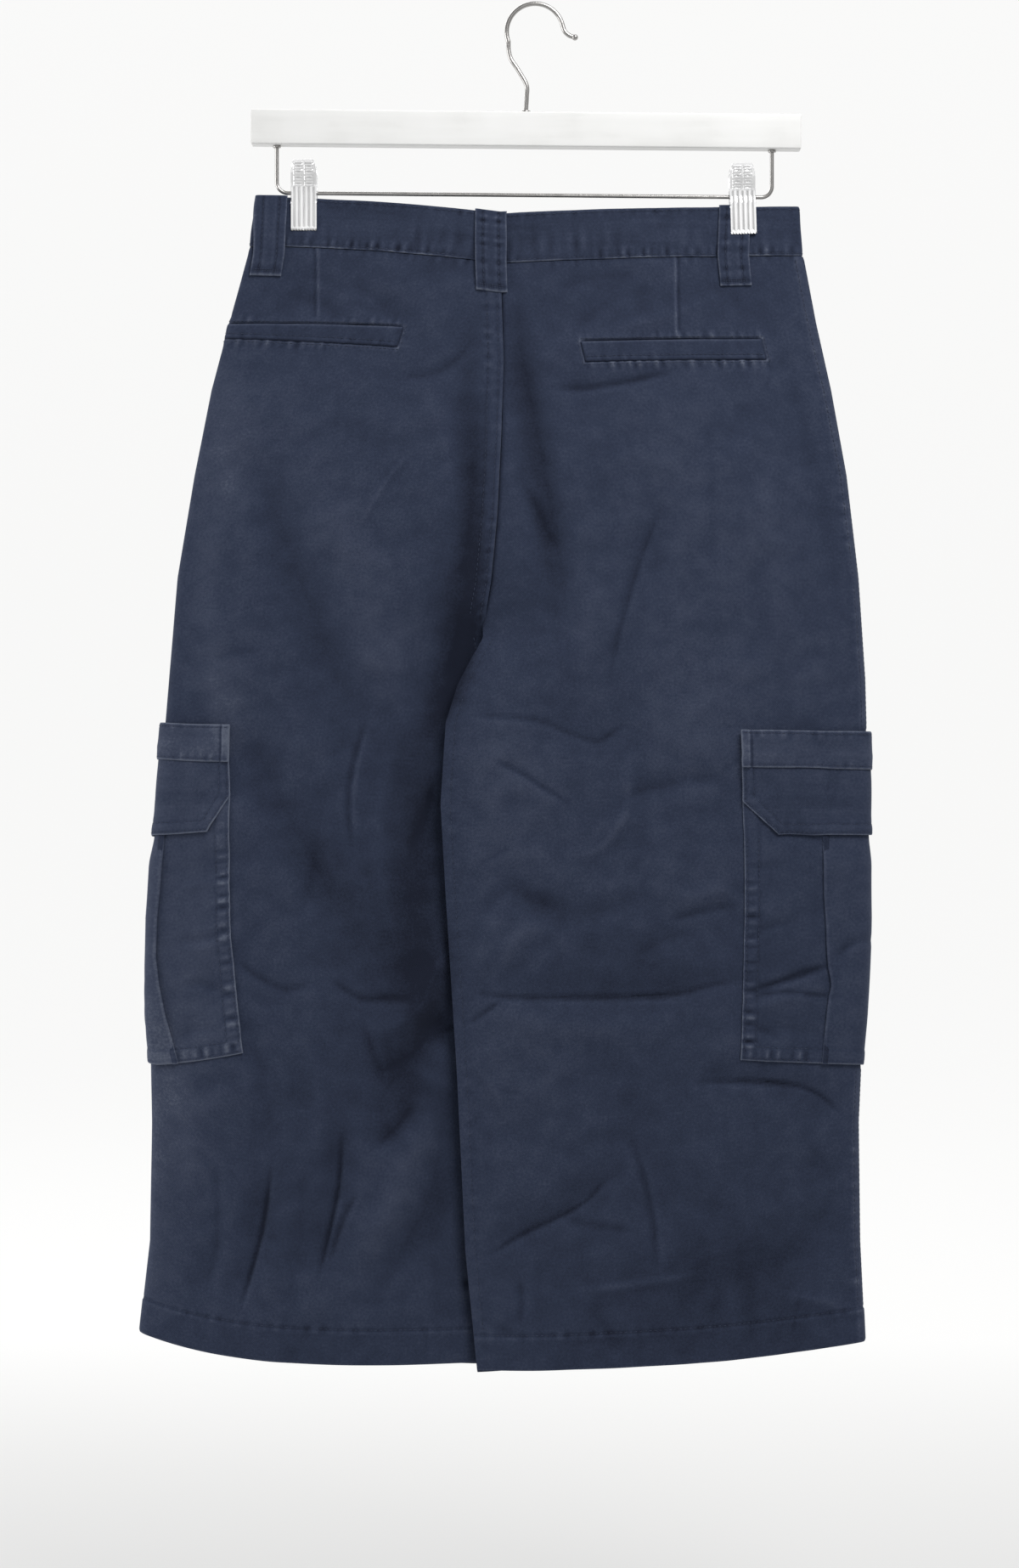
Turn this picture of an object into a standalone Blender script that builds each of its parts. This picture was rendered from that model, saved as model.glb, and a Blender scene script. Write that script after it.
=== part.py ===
"""Cargo shorts on a clip hanger: three-quarter-length cotton twill, hanging flat.

The garment's back faces -Y, its left leg lies at -X and its right leg at +X, and +Z is up.
The origin is the inside top of the hanger's hook. Sizes below are in millimetres, and the
meshes are written in metres.

Each leg is one skin: rows run down from the waist seam, and every row is a ring that starts
at the inner back edge, runs round the outer fold and ends at the inner front edge. Panels,
pockets, flaps and welts are all cut from that skin's points, and moved out where they lie on
one another.
"""

import math

import bmesh
import bpy
import numpy as np
from mathutils import Matrix, Vector

MM = 0.001

# Cloth
GAP = 0.3                  # between pieces that meet
CLOTH = 1.2                # wall of one panel
PATCH = 1.0                # wall of a pocket, flap or welt
BAND_WALL = 1.8            # the waistband is two layers of cloth
LOOP_WALL = 1.1

# Waist and lengths, measured down from the waist seam along the side
LEFT_WAIST_BELOW = 155.8   # the waist seam's place at each outer fold, below the hook
RIGHT_WAIST_BELOW = 161.9
CENTRE_WAIST_BELOW = 167.9 # and at the centre back, where the waist sags
CROTCH_DROP = 230.0
CROTCH_BELOW = 400.0
HEM_DROP = 700.0
HEM_INNER_BELOW = {"left": 876.0, "right": 879.5}
BAND_HEIGHT = 32.0
SEAT_CURVE = 100.0         # height over which the seat seam turns under to the crotch
FRONT_WAIST_SINK = 5.0     # the centre front lies lower than the centre back
FRONT_HEM_SINK = 3.0

# How a ring closes at its ends
INNER_EDGE_HALF = 1.5      # half the thickness of a closed inner leg edge
OUTER_RISE = 90.0          # distance from the outer fold to the full depth
INNER_RISE = 100.0         # distance from the inner edge to the full depth
LEAN_REACH = 110.0         # distance over which the overlapping inner edges lean apart
HIP_BLEND = 140.0          # the clips' pinch fades out over this drop
RING_STEPS = 240           # fine steps from which a ring's points are read

# Cargo pocket, from its side-seam centre line
PLEAT_RAISE = 1.8          # the box pleat stands above the pocket
PLEAT_HALF_WIDTH = 28.0

# Belt loops
LOOP_WIDTH = 21.0
LOOP_FOOT_DROP = 18.7
LOOP_SEAT = 0.5            # a loop's ends lie this far off the cloth
LOOP_ARCH = 1.4            # and its middle stands this much further out
LOOP_TUCK = 0.9            # how far its top end reaches in over the band's edge
BACK_LOOP_FROM_SEAM = 32.0
FRONT_LOOP_FROM_SEAM = 68.0

# Slanted hand pockets on the front: a folded edge from the waist to the side seam
HAND_POCKET_TOP = 55.0     # its distance from the side seam at the waist
HAND_POCKET_FOOT = 6.0     # and at its lower end
HAND_POCKET_DROP = 116.0
HAND_POCKET_EDGE = 8.0
HAND_POCKET_SEAT = 0.6

# Fly and button
FLY_WIDTH = 38.0
UNDERLAP_STEP = 2.3        # how far the waistband's under end lies inside its upper end
BUTTON_RADIUS = 9.0
BUTTON_THICKNESS = 2.6
BUTTON_FROM_EDGE = 19.0
BUTTON_SEAT = 0.5          # off the curved band
BUTTON_BEVEL = 0.8
BUTTON_RIM = 2.2           # width of the raised rim
BUTTON_DISH = 0.9          # depth of the dished middle

# Hanger
BAR_SIZE = (355.0, 12.0, 22.5)
BAR_CENTRE = (-5.8, 0.0, -80.4)
BAR_TILT = math.radians(0.53)
BAR_EDGE = 1.6
HOOK_WIRE = 3.0
HOOK_RADIUS = 18.3         # of the hook wire's centre line
HOOK_ARC_START = 200.0     # degrees, where the stem joins the loop
HOOK_ARC_END = 12.0        # and where the tip turns out
HOOK_STEM = [(-6.0, 68.8), (-5.4, 59.0), (-5.6, 51.0), (-11.3, 40.8), (-15.4, 34.6), (-17.0, 29.0)]
HOOK_TIP = [(19.2, 16.4), (22.0, 19.0), (25.8, 20.3)]
RAIL_WIRE = 2.6
RAIL_LEFT_X = -166.8
RAIL_RIGHT_X = 153.1
RAIL_BEND = 7.0
RAIL_LEFT_BELOW = 120.9
RAIL_RIGHT_BELOW = 123.7
CLIP_WIDTH = 16.5
CLIP_ABOVE_RAIL = 20.5
CLIP_BELOW_RAIL = 25.0
CLIP_SHEET = 1.0
CLIP_RIDGE = 0.5
CLIP_RIDGES = 4
CLIP_SPLAY = 8.6           # the finger grips' distance from the rail's plane
SPRING_WIDTH = 9.0
SPRING_RADIUS = 2.9
LEFT_CLIP_X = -149.2
RIGHT_CLIP_X = 133.9

NAVY = (0.036, 0.045, 0.078)
NAVY_WORN = (0.045, 0.055, 0.088)
WHITE_PAINT = (0.86, 0.86, 0.85)
CHROME = (0.80, 0.80, 0.81)
BUTTON_NAVY = (0.030, 0.036, 0.058)


class Table:
    """A short table with named columns, read between its rows by its first column."""

    def __init__(self, columns, rows):
        self.columns = columns.split()
        self.rows = np.array(rows, dtype=float)

    def at(self, key, column):
        return np.interp(key, self.rows[:, 0], self.rows[:, self.columns.index(column)])


# The outer folds, seen square on
OUTLINE = Table("below left right", [
    (122.0, -179.5, 170.4),
    (160.8, -185.5, 172.8),
    (204.7, -197.5, 181.1),
    (248.6, -209.1, 190.9),
    (303.4, -220.0, 200.8),
    (369.3, -231.0, 208.5),
    (435.1, -236.5, 212.9),
    (501.0, -242.0, 214.6),
    (588.8, -248.6, 214.2),
    (654.6, -248.8, 211.6),
    (720.5, -247.5, 208.7),
    (797.3, -248.8, 209.6),
    (852.1, -255.1, 212.3),
    (880.0, -257.0, 213.5),
])

# The inner edges: centre seams above the crotch, inner leg folds below it.
# lean is how far the left leg's inner edge lies behind and the right leg's in front.
INNER = Table("drop left_back right_back left_front right_front lean", [
    (0.0, -26.3, -26.3, 11.0, 11.0, 0.0),
    (60.0, -26.8, -26.8, 9.0, 9.0, 0.0),
    (110.0, -28.0, -28.0, 4.0, 4.0, 0.0),
    (160.0, -28.8, -28.8, -5.0, -5.0, 0.0),
    (203.0, -30.5, -30.5, -18.0, -18.0, 0.0),
    (230.0, -33.0, -33.0, -33.0, -33.0, 0.0),
    (238.0, -33.4, -32.6, -33.4, -32.6, 3.2),
    (251.0, -31.0, -41.0, -31.0, -41.0, 6.0),
    (268.0, -27.0, -50.0, -27.0, -50.0, 8.5),
    (292.0, -23.0, -57.6, -23.0, -57.6, 10.5),
    (343.0, -18.0, -60.9, -18.0, -60.9, 11.5),
    (401.0, -15.0, -57.6, -15.0, -57.6, 11.0),
    (511.0, -13.0, -50.5, -13.0, -50.5, 10.0),
    (624.0, -13.0, -45.0, -13.0, -45.0, 9.0),
    (700.0, -13.0, -37.3, -13.0, -37.3, 8.0),
])

# Half the ring's depth, front to back, and the radius of its outer fold
DEPTH = Table("drop left right fold", [
    (0.0, 10.0, 10.0, 2.7),
    (60.0, 12.5, 12.0, 3.2),
    (150.0, 16.5, 15.5, 4.5),
    (230.0, 18.5, 18.0, 5.5),
    (350.0, 17.5, 18.0, 6.5),
    (520.0, 16.5, 17.0, 6.0),
    (620.0, 16.0, 15.5, 5.5),
    (700.0, 16.5, 14.5, 5.5),
])

# Half the depth across the waist, pinched flat at the clips
WAIST_DEPTH = Table("x half", [
    (-186.0, 2.7),
    (-136.0, 2.7),
    (-100.0, 6.0),
    (-60.0, 9.0),
    (-10.0, 10.5),
    (40.0, 9.0),
    (90.0, 6.0),
    (120.0, 2.7),
    (176.0, 2.7),
])

# How far the side seam lies past the outer fold, towards the front
SIDE_SEAM = Table("drop left right", [
    (0.0, 30.0, 0.0),
    (60.0, 31.0, 0.0),
    (308.0, 33.0, 0.0),
    (375.0, 30.0, 0.0),
    (521.0, 20.0, 0.0),
    (700.0, 18.0, 0.0),
])

# How sharply each hem falls away from its outer fold
HEM_FALL = {"left": 4.4, "right": 2.1}
WAIST_FALL = 1.8

# The lattice's rows, each at its own drop on the two sides
ROWS = [
    ("waist_seam", 0.0, 0.0),
    ("loop_foot", LOOP_FOOT_DROP, LOOP_FOOT_DROP),
    ("yoke", 32.0, 36.0),
    ("welt_top", 45.5, 52.0),
    ("welt_bottom", 60.0, 66.0),
    ("hip_1", 85.0, 88.0),
    ("hip_2", 110.0, 112.0),
    ("hip_3", 136.0, 136.0),
    ("hip_4", 160.0, 160.0),
    ("seat_1", 183.0, 183.0),
    ("seat_2", 203.0, 203.0),
    ("seat_3", 219.0, 219.0),
    ("crotch", CROTCH_DROP, CROTCH_DROP),
    ("under_1", 238.0, 238.0),
    ("under_2", 251.0, 251.0),
    ("under_3", 268.0, 268.0),
    ("under_4", 288.0, 288.0),
    ("pocket_band_top", 308.0, 308.0),
    ("pocket_band_bottom", 332.0, 332.0),
    ("flap_corner", 354.0, 354.0),
    ("flap_bottom", 375.0, 375.0),
    ("pocket_1", 399.0, 399.0),
    ("pocket_2", 423.0, 423.0),
    ("pocket_3", 447.0, 447.0),
    ("pocket_4", 472.0, 472.0),
    ("pocket_5", 497.0, 497.0),
    ("pocket_bottom", 521.5, 521.5),
    ("shin_1", 546.0, 546.0),
    ("shin_2", 571.0, 571.0),
    ("shin_3", 597.0, 597.0),
    ("shin_4", 624.0, 624.0),
    ("shin_5", 651.0, 651.0),
    ("hem_seam", 678.0, 678.0),
    ("hem", HEM_DROP, HEM_DROP),
]
ROW_NAMES = [row[0] for row in ROWS]

# The lattice's columns, as distances from the side seam. The rest of a panel's width is
# shared out evenly up to its inner edge, or up to the fly on the front.
FREE_COLUMNS = {"left": [9.0, 18.0], "right": [5.0, 16.0]}
SEAM_COLUMNS = [PLEAT_HALF_WIDTH, 36.0, 49.0, 62.0, 82.0]
WELT_COLUMNS = [100.0, 118.0, 136.0, 154.0]
BACK_SHARES = 5
FRONT_SHARES = 4
PLEAT_COLUMNS = 3          # columns from the side seam to the pleat's edge
WELT_FIRST = 4             # to the welt's outer end
POCKET_COLUMNS = 7         # to the cargo pocket's edge
WELT_LAST = 11             # and to the welt's inner end

# The largest folds: face, half width, lift (outwards, or inwards where negative), and the
# route of each as (x, below) points. They fade out at the folded edges.
FOLDS = [
    ("back", 14.0, -4.4, [(-12.0, 200.0), (-2.0, 235.0), (8.0, 270.0), (16.0, 312.0), (23.0, 395.0)]),
    ("back", 13.0, -2.4, [(9.0, 247.0), (57.0, 244.0), (90.0, 237.0)]),
    ("back", 15.0, -3.6, [(82.0, 323.0), (63.0, 376.0), (44.0, 460.0)]),
    ("back", 13.0, -2.4, [(-8.0, 460.0), (43.0, 474.0), (71.0, 470.0)]),
    ("back", 12.0, -4.4, [(-38.0, 633.0), (84.0, 635.0), (128.0, 627.0)]),
    ("back", 14.0, 3.2, [(-20.0, 655.0), (60.0, 662.0)]),
    ("back", 12.0, -4.2, [(100.0, 692.0), (160.0, 696.0), (203.0, 719.0)]),
    ("back", 13.0, -3.4, [(-20.0, 795.0), (49.0, 755.0)]),
    ("back", 20.0, -4.0, [(98.0, 808.0), (137.0, 811.0), (179.0, 792.0), (195.0, 773.0)]),
    ("back", 16.0, -6.0, [(-38.0, 262.0), (-41.0, 312.0), (-45.0, 360.0), (-56.0, 400.0), (-76.0, 490.0)]),
    ("back", 17.0, -4.0, [(-181.0, 291.0), (-150.0, 374.0), (-115.0, 463.0)]),
    ("back", 22.0, 3.0, [(-140.0, 300.0), (-110.0, 390.0), (-92.0, 450.0)]),
    ("back", 17.0, -4.4, [(-189.0, 458.0), (-160.0, 520.0), (-125.0, 587.0)]),
    ("back", 15.0, -3.4, [(-66.0, 500.0), (-74.0, 545.0), (-72.0, 590.0)]),
    ("back", 14.0, 6.0, [(-62.0, 610.0), (-73.0, 645.0), (-98.0, 662.0)]),
    ("back", 14.0, -6.0, [(-62.0, 655.0), (-80.0, 678.0), (-104.0, 690.0)]),
    ("back", 13.0, -3.8, [(-124.0, 728.0), (-138.0, 814.0)]),
    ("back", 13.0, -3.4, [(-170.0, 752.0), (-176.0, 790.0), (-188.0, 838.0)]),
    ("back", 16.0, 4.2, [(-72.0, 715.0), (-84.0, 760.0), (-112.0, 810.0)]),
    ("back", 14.0, -4.6, [(-58.0, 708.0), (-66.0, 763.0), (-94.0, 821.0)]),
    ("front", 18.0, -4.2, [(30.0, 240.0), (52.0, 330.0), (60.0, 430.0)]),
    ("front", 18.0, -4.6, [(-66.0, 250.0), (-84.0, 350.0), (-88.0, 470.0)]),
    ("front", 14.0, -4.0, [(-20.0, 628.0), (70.0, 640.0), (120.0, 626.0)]),
    ("front", 15.0, 4.6, [(-70.0, 640.0), (-120.0, 655.0), (-160.0, 640.0)]),
    ("front", 14.0, -4.0, [(-96.0, 690.0), (-112.0, 800.0)]),
    ("front", 22.0, 2.8, [(96.0, 700.0), (88.0, 850.0)]),
    ("front", 20.0, 2.6, [(-160.0, 300.0), (-150.0, 420.0)]),
    ("front", 14.0, -2.6, [(130.0, 300.0), (112.0, 390.0), (108.0, 470.0)]),
]
FOLD_FADE = 30.0           # folds die away over this distance from a ring's ends


def smooth(value):
    """A soft step from 0 to 1."""
    value = np.clip(value, 0.0, 1.0)
    return value * value * (3.0 - 2.0 * value)


def swell(value):
    """A quarter sine, steep at 0 and level at 1."""
    return np.sin(np.clip(value, 0.0, 1.0) * math.pi / 2.0)


def mix(first, second, share):
    return first + (second - first) * share


# ---------------------------------------------------------------- the skin of one leg

def fold_lift(face, x, below):
    """How far the folds move each point of a face outwards."""
    lift = np.zeros_like(x)
    for fold_face, half_width, height, route in FOLDS:
        if fold_face != face:
            continue
        nearest = np.full_like(x, 1e6)
        for (x0, below0), (x1, below1) in zip(route, route[1:]):
            run = np.array((x1 - x0, below1 - below0))
            along = ((x - x0) * run[0] + (below - below0) * run[1]) / run.dot(run)
            along = np.clip(along, 0.0, 1.0)
            away = np.hypot(x - x0 - along * run[0], below - below0 - along * run[1])
            nearest = np.minimum(nearest, away)
        lift += height * np.exp(-(nearest / half_width) ** 2)
    return lift


def outer_below(side, drop):
    """Where a row crosses its outer fold."""
    return (LEFT_WAIST_BELOW if side == "left" else RIGHT_WAIST_BELOW) + drop


def inner_below(side, drop):
    """Where a row reaches its inner edge, the same on both sides down to the crotch."""
    if drop < CROTCH_DROP:
        return CENTRE_WAIST_BELOW + drop * (CROTCH_BELOW - CENTRE_WAIST_BELOW) / CROTCH_DROP
    share = (drop - CROTCH_DROP) / (HEM_DROP - CROTCH_DROP)
    return mix(CROTCH_BELOW, HEM_INNER_BELOW[side], share)


def half_ring(side, drop, face):
    """Fine points of one face of a ring, from its inner edge to its outer fold."""
    outer = outer_below(side, drop)
    inner = inner_below(side, drop)
    outer_x = OUTLINE.at(outer, side)
    inner_x = INNER.at(drop, side + "_" + face)
    width = abs(outer_x - inner_x)
    to_outer = np.sin(np.linspace(0.0, math.pi / 2.0, RING_STEPS + 1))
    to_outer[-1] = 1.0
    to_inner = 1.0 - to_outer
    x = mix(inner_x, outer_x, to_outer)
    from_inner = to_outer * width
    from_outer = to_inner * width

    # height: a row sags from its outer fold to its inner edge
    waist_sag = to_inner ** WAIST_FALL
    hem_sag = 1.0 - to_outer ** HEM_FALL[side]
    sag = mix(waist_sag, hem_sag, max(drop, 0.0) / HEM_DROP)
    below = outer + (inner - outer) * sag
    if face == "front":
        sink = FRONT_WAIST_SINK * (1.0 - smooth(drop / CROTCH_DROP))
        sink += FRONT_HEM_SINK * smooth((drop - CROTCH_DROP) / (HEM_DROP - CROTCH_DROP))
        below = below + sink * to_inner

    # depth: a round outer fold, then a slow swell, and an inner edge that closes at the crotch
    fold = DEPTH.at(drop, "fold")
    full = mix(WAIST_DEPTH.at(x, "half"), DEPTH.at(drop, side), smooth(drop / HIP_BLEND))
    cap = fold * np.sqrt(1.0 - (1.0 - np.clip(from_outer / fold, 0.0, 1.0)) ** 2)
    half = cap + (full - fold) * swell(from_outer / OUTER_RISE)
    turned = min(max((drop - CROTCH_DROP + SEAT_CURVE) / SEAT_CURVE, 0.0), 1.0)
    openness = math.sqrt(1.0 - turned ** 2)
    closed = INNER_EDGE_HALF + (half - INNER_EDGE_HALF) * swell(from_inner / INNER_RISE)
    half = mix(half, mix(closed, half, openness), smooth(from_outer / (2.0 * fold)))

    # the inner edges pass each other, and the folds die away at both ends
    lean = INNER.at(drop, "lean") * (1.0 - smooth(from_inner / LEAN_REACH))
    middle = lean if side == "left" else -lean
    fade = smooth(from_outer / FOLD_FADE) * mix(1.0, smooth(from_inner / FOLD_FADE), turned)
    lift = fold_lift(face, x, below) * fade
    outward = -1.0 if face == "back" else 1.0
    return np.column_stack((x, middle + outward * (half + lift), -below))


def free_columns(side, drop):
    """The two columns nearest the side seam; on the left one of them follows the fold."""
    near, middle = FREE_COLUMNS[side]
    seam = SIDE_SEAM.at(drop, side)
    share = smooth((PLEAT_HALF_WIDTH - 1.0 - seam) / 3.0) if side == "left" else 0.0
    return [near, mix(middle, seam, share)]


def ring_columns(side, drop, length, seam):
    """Signed distances of a row's columns from the side seam, back to front."""
    fixed = [0.0] + free_columns(side, drop) + SEAM_COLUMNS
    back = fixed + WELT_COLUMNS
    back = back + list(np.linspace(back[-1], seam, BACK_SHARES + 1)[1:])
    front_edge = length - seam
    front = fixed[1:]
    front = front + list(np.linspace(front[-1], front_edge - FLY_WIDTH, FRONT_SHARES + 1)[1:])
    front = front + [front_edge - FLY_WIDTH / 2.0, front_edge]
    return np.array([-distance for distance in reversed(back)] + front)


def lattice(side, drops):
    """A leg's skin at the given drops: points, outward normals and column distances."""
    points = []
    distances = []
    for drop in drops:
        back = half_ring(side, drop, "back")
        front = half_ring(side, drop, "front")[::-1]
        ring = np.vstack((back, front[1:]))
        arc = np.concatenate(([0.0], np.cumsum(np.linalg.norm(np.diff(ring, axis=0), axis=1))))
        seam = arc[RING_STEPS] + SIDE_SEAM.at(drop, side)
        columns = ring_columns(side, drop, arc[-1], seam)
        points.append([[np.interp(seam + d, arc, ring[:, i]) for i in range(3)] for d in columns])
        distances.append(columns)
    points = np.array(points)
    normals = np.cross(np.gradient(points, axis=0), np.gradient(points, axis=1))
    normals /= np.linalg.norm(normals, axis=2, keepdims=True)
    return {
        "side": side,
        "drops": np.array(drops),
        "points": points,
        "normals": normals if side == "right" else -normals,
        "distances": np.array(distances),
        "seam": BACK_SHARES + WELT_LAST,
    }


def leg_skin(side):
    return lattice(side, [row[1 if side == "left" else 2] for row in ROWS])


def band_skin(side):
    return lattice(side, [-BAND_HEIGHT, -BAND_HEIGHT / 2.0, -GAP])


def row_number(name):
    return ROW_NAMES.index(name)


def splits_forward(skin, column):
    """Whether a cell's diagonal runs from its upper low column to its lower high column."""
    last = skin["points"].shape[1] - 1
    return column < skin["seam"] or column >= last - 2


def cell_triangles(skin, row, column, keep="both"):
    """A lattice cell as (row, column) triangles, clockwise on a right leg seen from outside."""
    a, b = (row, column), (row, column + 1)
    d, c = (row + 1, column), (row + 1, column + 1)
    if splits_forward(skin, column):
        upper, lower = (a, b, c), (a, c, d)
    else:
        upper, lower = (a, b, d), (b, c, d)
    return [triangle for triangle, name in ((upper, "upper"), (lower, "lower"))
            if keep in ("both", name)]


def block_triangles(skin, first_row, last_row, first_column, last_column):
    triangles = []
    for row in range(first_row, last_row):
        for column in range(first_column, last_column):
            triangles += cell_triangles(skin, row, column)
    return triangles


def skin_point(skin, drop, distance):
    """A point and normal on the skin's own facets, by drop and distance from the side seam."""
    drops = skin["drops"]
    row = int(np.clip(np.searchsorted(drops, drop, side="right") - 1, 0, len(drops) - 2))
    down = (drop - drops[row]) / (drops[row + 1] - drops[row])
    columns = mix(skin["distances"][row], skin["distances"][row + 1], down)
    column = int(np.clip(np.searchsorted(columns, distance, side="right") - 1, 0, len(columns) - 2))
    across = (distance - columns[column]) / (columns[column + 1] - columns[column])
    corners = [(row, column), (row, column + 1), (row + 1, column + 1), (row + 1, column)]
    if splits_forward(skin, column):
        if across > down:
            weights = (1.0 - across, across - down, down, 0.0)
        else:
            weights = (1.0 - down, 0.0, across, down - across)
    elif across + down < 1.0:
        weights = (1.0 - across - down, across, 0.0, down)
    else:
        weights = (0.0, 1.0 - down, across + down - 1.0, 1.0 - across)
    point = sum(weight * skin["points"][corner] for weight, corner in zip(weights, corners))
    normal = sum(weight * skin["normals"][corner] for weight, corner in zip(weights, corners))
    return point, normal / np.linalg.norm(normal)


# ---------------------------------------------------------------- solids from points

def new_material(name, colour, roughness, metallic=0.0):
    material = bpy.data.materials.get(name) or bpy.data.materials.new(name)
    material.use_nodes = True
    shader = material.node_tree.nodes["Principled BSDF"]
    shader.inputs["Base Color"].default_value = (*colour, 1.0)
    shader.inputs["Roughness"].default_value = roughness
    shader.inputs["Metallic"].default_value = metallic
    material.diffuse_color = (*colour, 1.0)
    return material


def new_solid(name, points, faces, material, smooth_angle=40.0):
    mesh = bpy.data.meshes.new(name)
    mesh.from_pydata([tuple(float(value) * MM for value in point) for point in points], [], faces)
    shape = bmesh.new()
    shape.from_mesh(mesh)
    bmesh.ops.recalc_face_normals(shape, faces=shape.faces)
    shape.to_mesh(mesh)
    shape.free()
    mesh.shade_smooth()
    mesh.set_sharp_from_angle(angle=math.radians(smooth_angle))
    mesh.materials.append(material)
    solid = bpy.data.objects.new(name, mesh)
    bpy.context.collection.objects.link(solid)
    return solid


def sheet_solid(name, outer, inner, triangles, material):
    """A closed wall between two layers of the same points, over the given triangles."""
    used = sorted({corner for triangle in triangles for corner in triangle})
    number = {corner: index for index, corner in enumerate(used)}
    count = len(used)
    points = [outer[corner] for corner in used] + [inner[corner] for corner in used]
    faces = []
    edges = {}
    for triangle in triangles:
        a, b, c = (number[corner] for corner in triangle)
        faces.append((c, b, a))
        faces.append((a + count, b + count, c + count))
        for start, end in ((a, b), (b, c), (c, a)):
            edges[(start, end)] = True
    for start, end in edges:
        if (end, start) not in edges:
            faces.append((start, end, end + count, start + count))
    return new_solid(name, points, faces, material)


def grid_triangles(rows, columns):
    triangles = []
    for row in range(rows - 1):
        for column in range(columns - 1):
            a, b = (row, column), (row, column + 1)
            d, c = (row + 1, column), (row + 1, column + 1)
            triangles += [(a, b, c), (a, c, d)]
    return triangles


def inset_edges(points, rows, columns, amount):
    """Draw a patch's side edges in along its rows, to leave a gap to its neighbour."""
    moved = points.copy()
    for edge, next_one in ((columns[0], columns[0] + 1), (columns[1], columns[1] - 1)):
        run = points[rows[0]:rows[1] + 1, next_one] - points[rows[0]:rows[1] + 1, edge]
        run /= np.linalg.norm(run, axis=1, keepdims=True)
        moved[rows[0]:rows[1] + 1, edge] += run * amount
    return moved


# ---------------------------------------------------------------- the cloth pieces

def make_panel(skin, face):
    """One back or front panel, from its seam at the waist to its hem."""
    last_row = len(ROWS) - 1
    last_column = skin["points"].shape[1] - 1
    columns = (0, skin["seam"]) if face == "back" else (skin["seam"], last_column)
    outer = inset_edges(skin["points"], (0, last_row), columns, GAP / 2.0)
    inner = outer - skin["normals"] * CLOTH
    triangles = block_triangles(skin, 0, last_row, *columns)
    navy = new_material("navy_twill", NAVY, 0.86)
    return sheet_solid(face + "_panel_" + skin["side"], outer, inner, triangles, navy)


def make_patch(name, skin, triangles, seat, material, raised=None):
    """A piece that lies on a panel: the panel's own points, moved out."""
    inner = skin["points"] + skin["normals"] * seat
    lift = np.full(skin["points"].shape[:2], PATCH)
    if raised is not None:
        lift = lift + raised
    outer = inner + skin["normals"] * lift[:, :, None]
    return sheet_solid(name, outer, inner, triangles, material)


def make_cargo_pocket(skin):
    """A patch pocket across the side seam, with a box pleat and a flap under a band."""
    side = skin["side"]
    worn = new_material("navy_twill_worn", NAVY_WORN, 0.86)
    navy = new_material("navy_twill", NAVY, 0.86)
    first, last = skin["seam"] - POCKET_COLUMNS, skin["seam"] + POCKET_COLUMNS
    band_top, band_bottom = row_number("pocket_band_top"), row_number("pocket_band_bottom")
    flap_corner, flap_bottom = row_number("flap_corner"), row_number("flap_bottom")
    pocket_bottom = row_number("pocket_bottom")

    raised = np.zeros(skin["points"].shape[:2])
    pleat = slice(skin["seam"] - PLEAT_COLUMNS, skin["seam"] + PLEAT_COLUMNS + 1)
    raised[flap_bottom + 1:pocket_bottom, pleat] = PLEAT_RAISE
    body = block_triangles(skin, band_bottom, pocket_bottom, first, last)
    make_patch("cargo_pocket_" + side, skin, body, GAP, navy, raised)

    flap_seat = GAP + PATCH + GAP
    flap = block_triangles(skin, band_top, flap_corner, first, last)
    flap += block_triangles(skin, flap_corner, flap_bottom, first + 1, last - 1)
    flap += cell_triangles(skin, flap_corner, first, "upper")
    flap += cell_triangles(skin, flap_corner, last - 1, "upper")
    make_patch("cargo_flap_" + side, skin, flap, flap_seat, worn)

    band = block_triangles(skin, band_top, band_bottom, first, last)
    make_patch("cargo_band_" + side, skin, band, flap_seat + PATCH + GAP, worn)


def make_welt(skin):
    """The back pocket's welt, set across the back panel."""
    top, bottom = row_number("welt_top"), row_number("welt_bottom")
    columns = (skin["seam"] - WELT_LAST, skin["seam"] - WELT_FIRST)
    triangles = block_triangles(skin, top, bottom, *columns)
    navy = new_material("navy_twill", NAVY, 0.86)
    make_patch("back_welt_" + skin["side"], skin, triangles, GAP, navy)


def make_hand_pocket(skin):
    """The folded edge of a slanted front pocket, from the waist to the side seam."""
    steps = 9
    outer = np.zeros((steps, 3, 3))
    inner = np.zeros((steps, 3, 3))
    for row, share in enumerate(np.linspace(0.02, 0.98, steps)):
        for column, across in enumerate((0.0, 0.5, 1.0)):
            distance = mix(HAND_POCKET_TOP, HAND_POCKET_FOOT, share) + across * HAND_POCKET_EDGE
            point, normal = skin_point(skin, share * HAND_POCKET_DROP, distance)
            inner[row, column] = point + normal * HAND_POCKET_SEAT
            outer[row, column] = inner[row, column] + normal * PATCH
    navy = new_material("navy_twill", NAVY, 0.86)
    sheet_solid("hand_pocket_edge_" + skin["side"], outer, inner, grid_triangles(steps, 3), navy)


def make_fly(skin):
    """The fly's overlap, stitched on the left front, with a cut lower corner."""
    last = skin["points"].shape[1] - 1
    top, corner, foot = row_number("waist_seam"), row_number("hip_4"), row_number("seat_1")
    triangles = block_triangles(skin, top, corner, last - 2, last)
    triangles += cell_triangles(skin, corner, last - 2, "upper")
    triangles += block_triangles(skin, corner, foot, last - 1, last)
    navy = new_material("navy_twill", NAVY, 0.86)
    make_patch("fly_placket", skin, triangles, GAP, navy)


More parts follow.
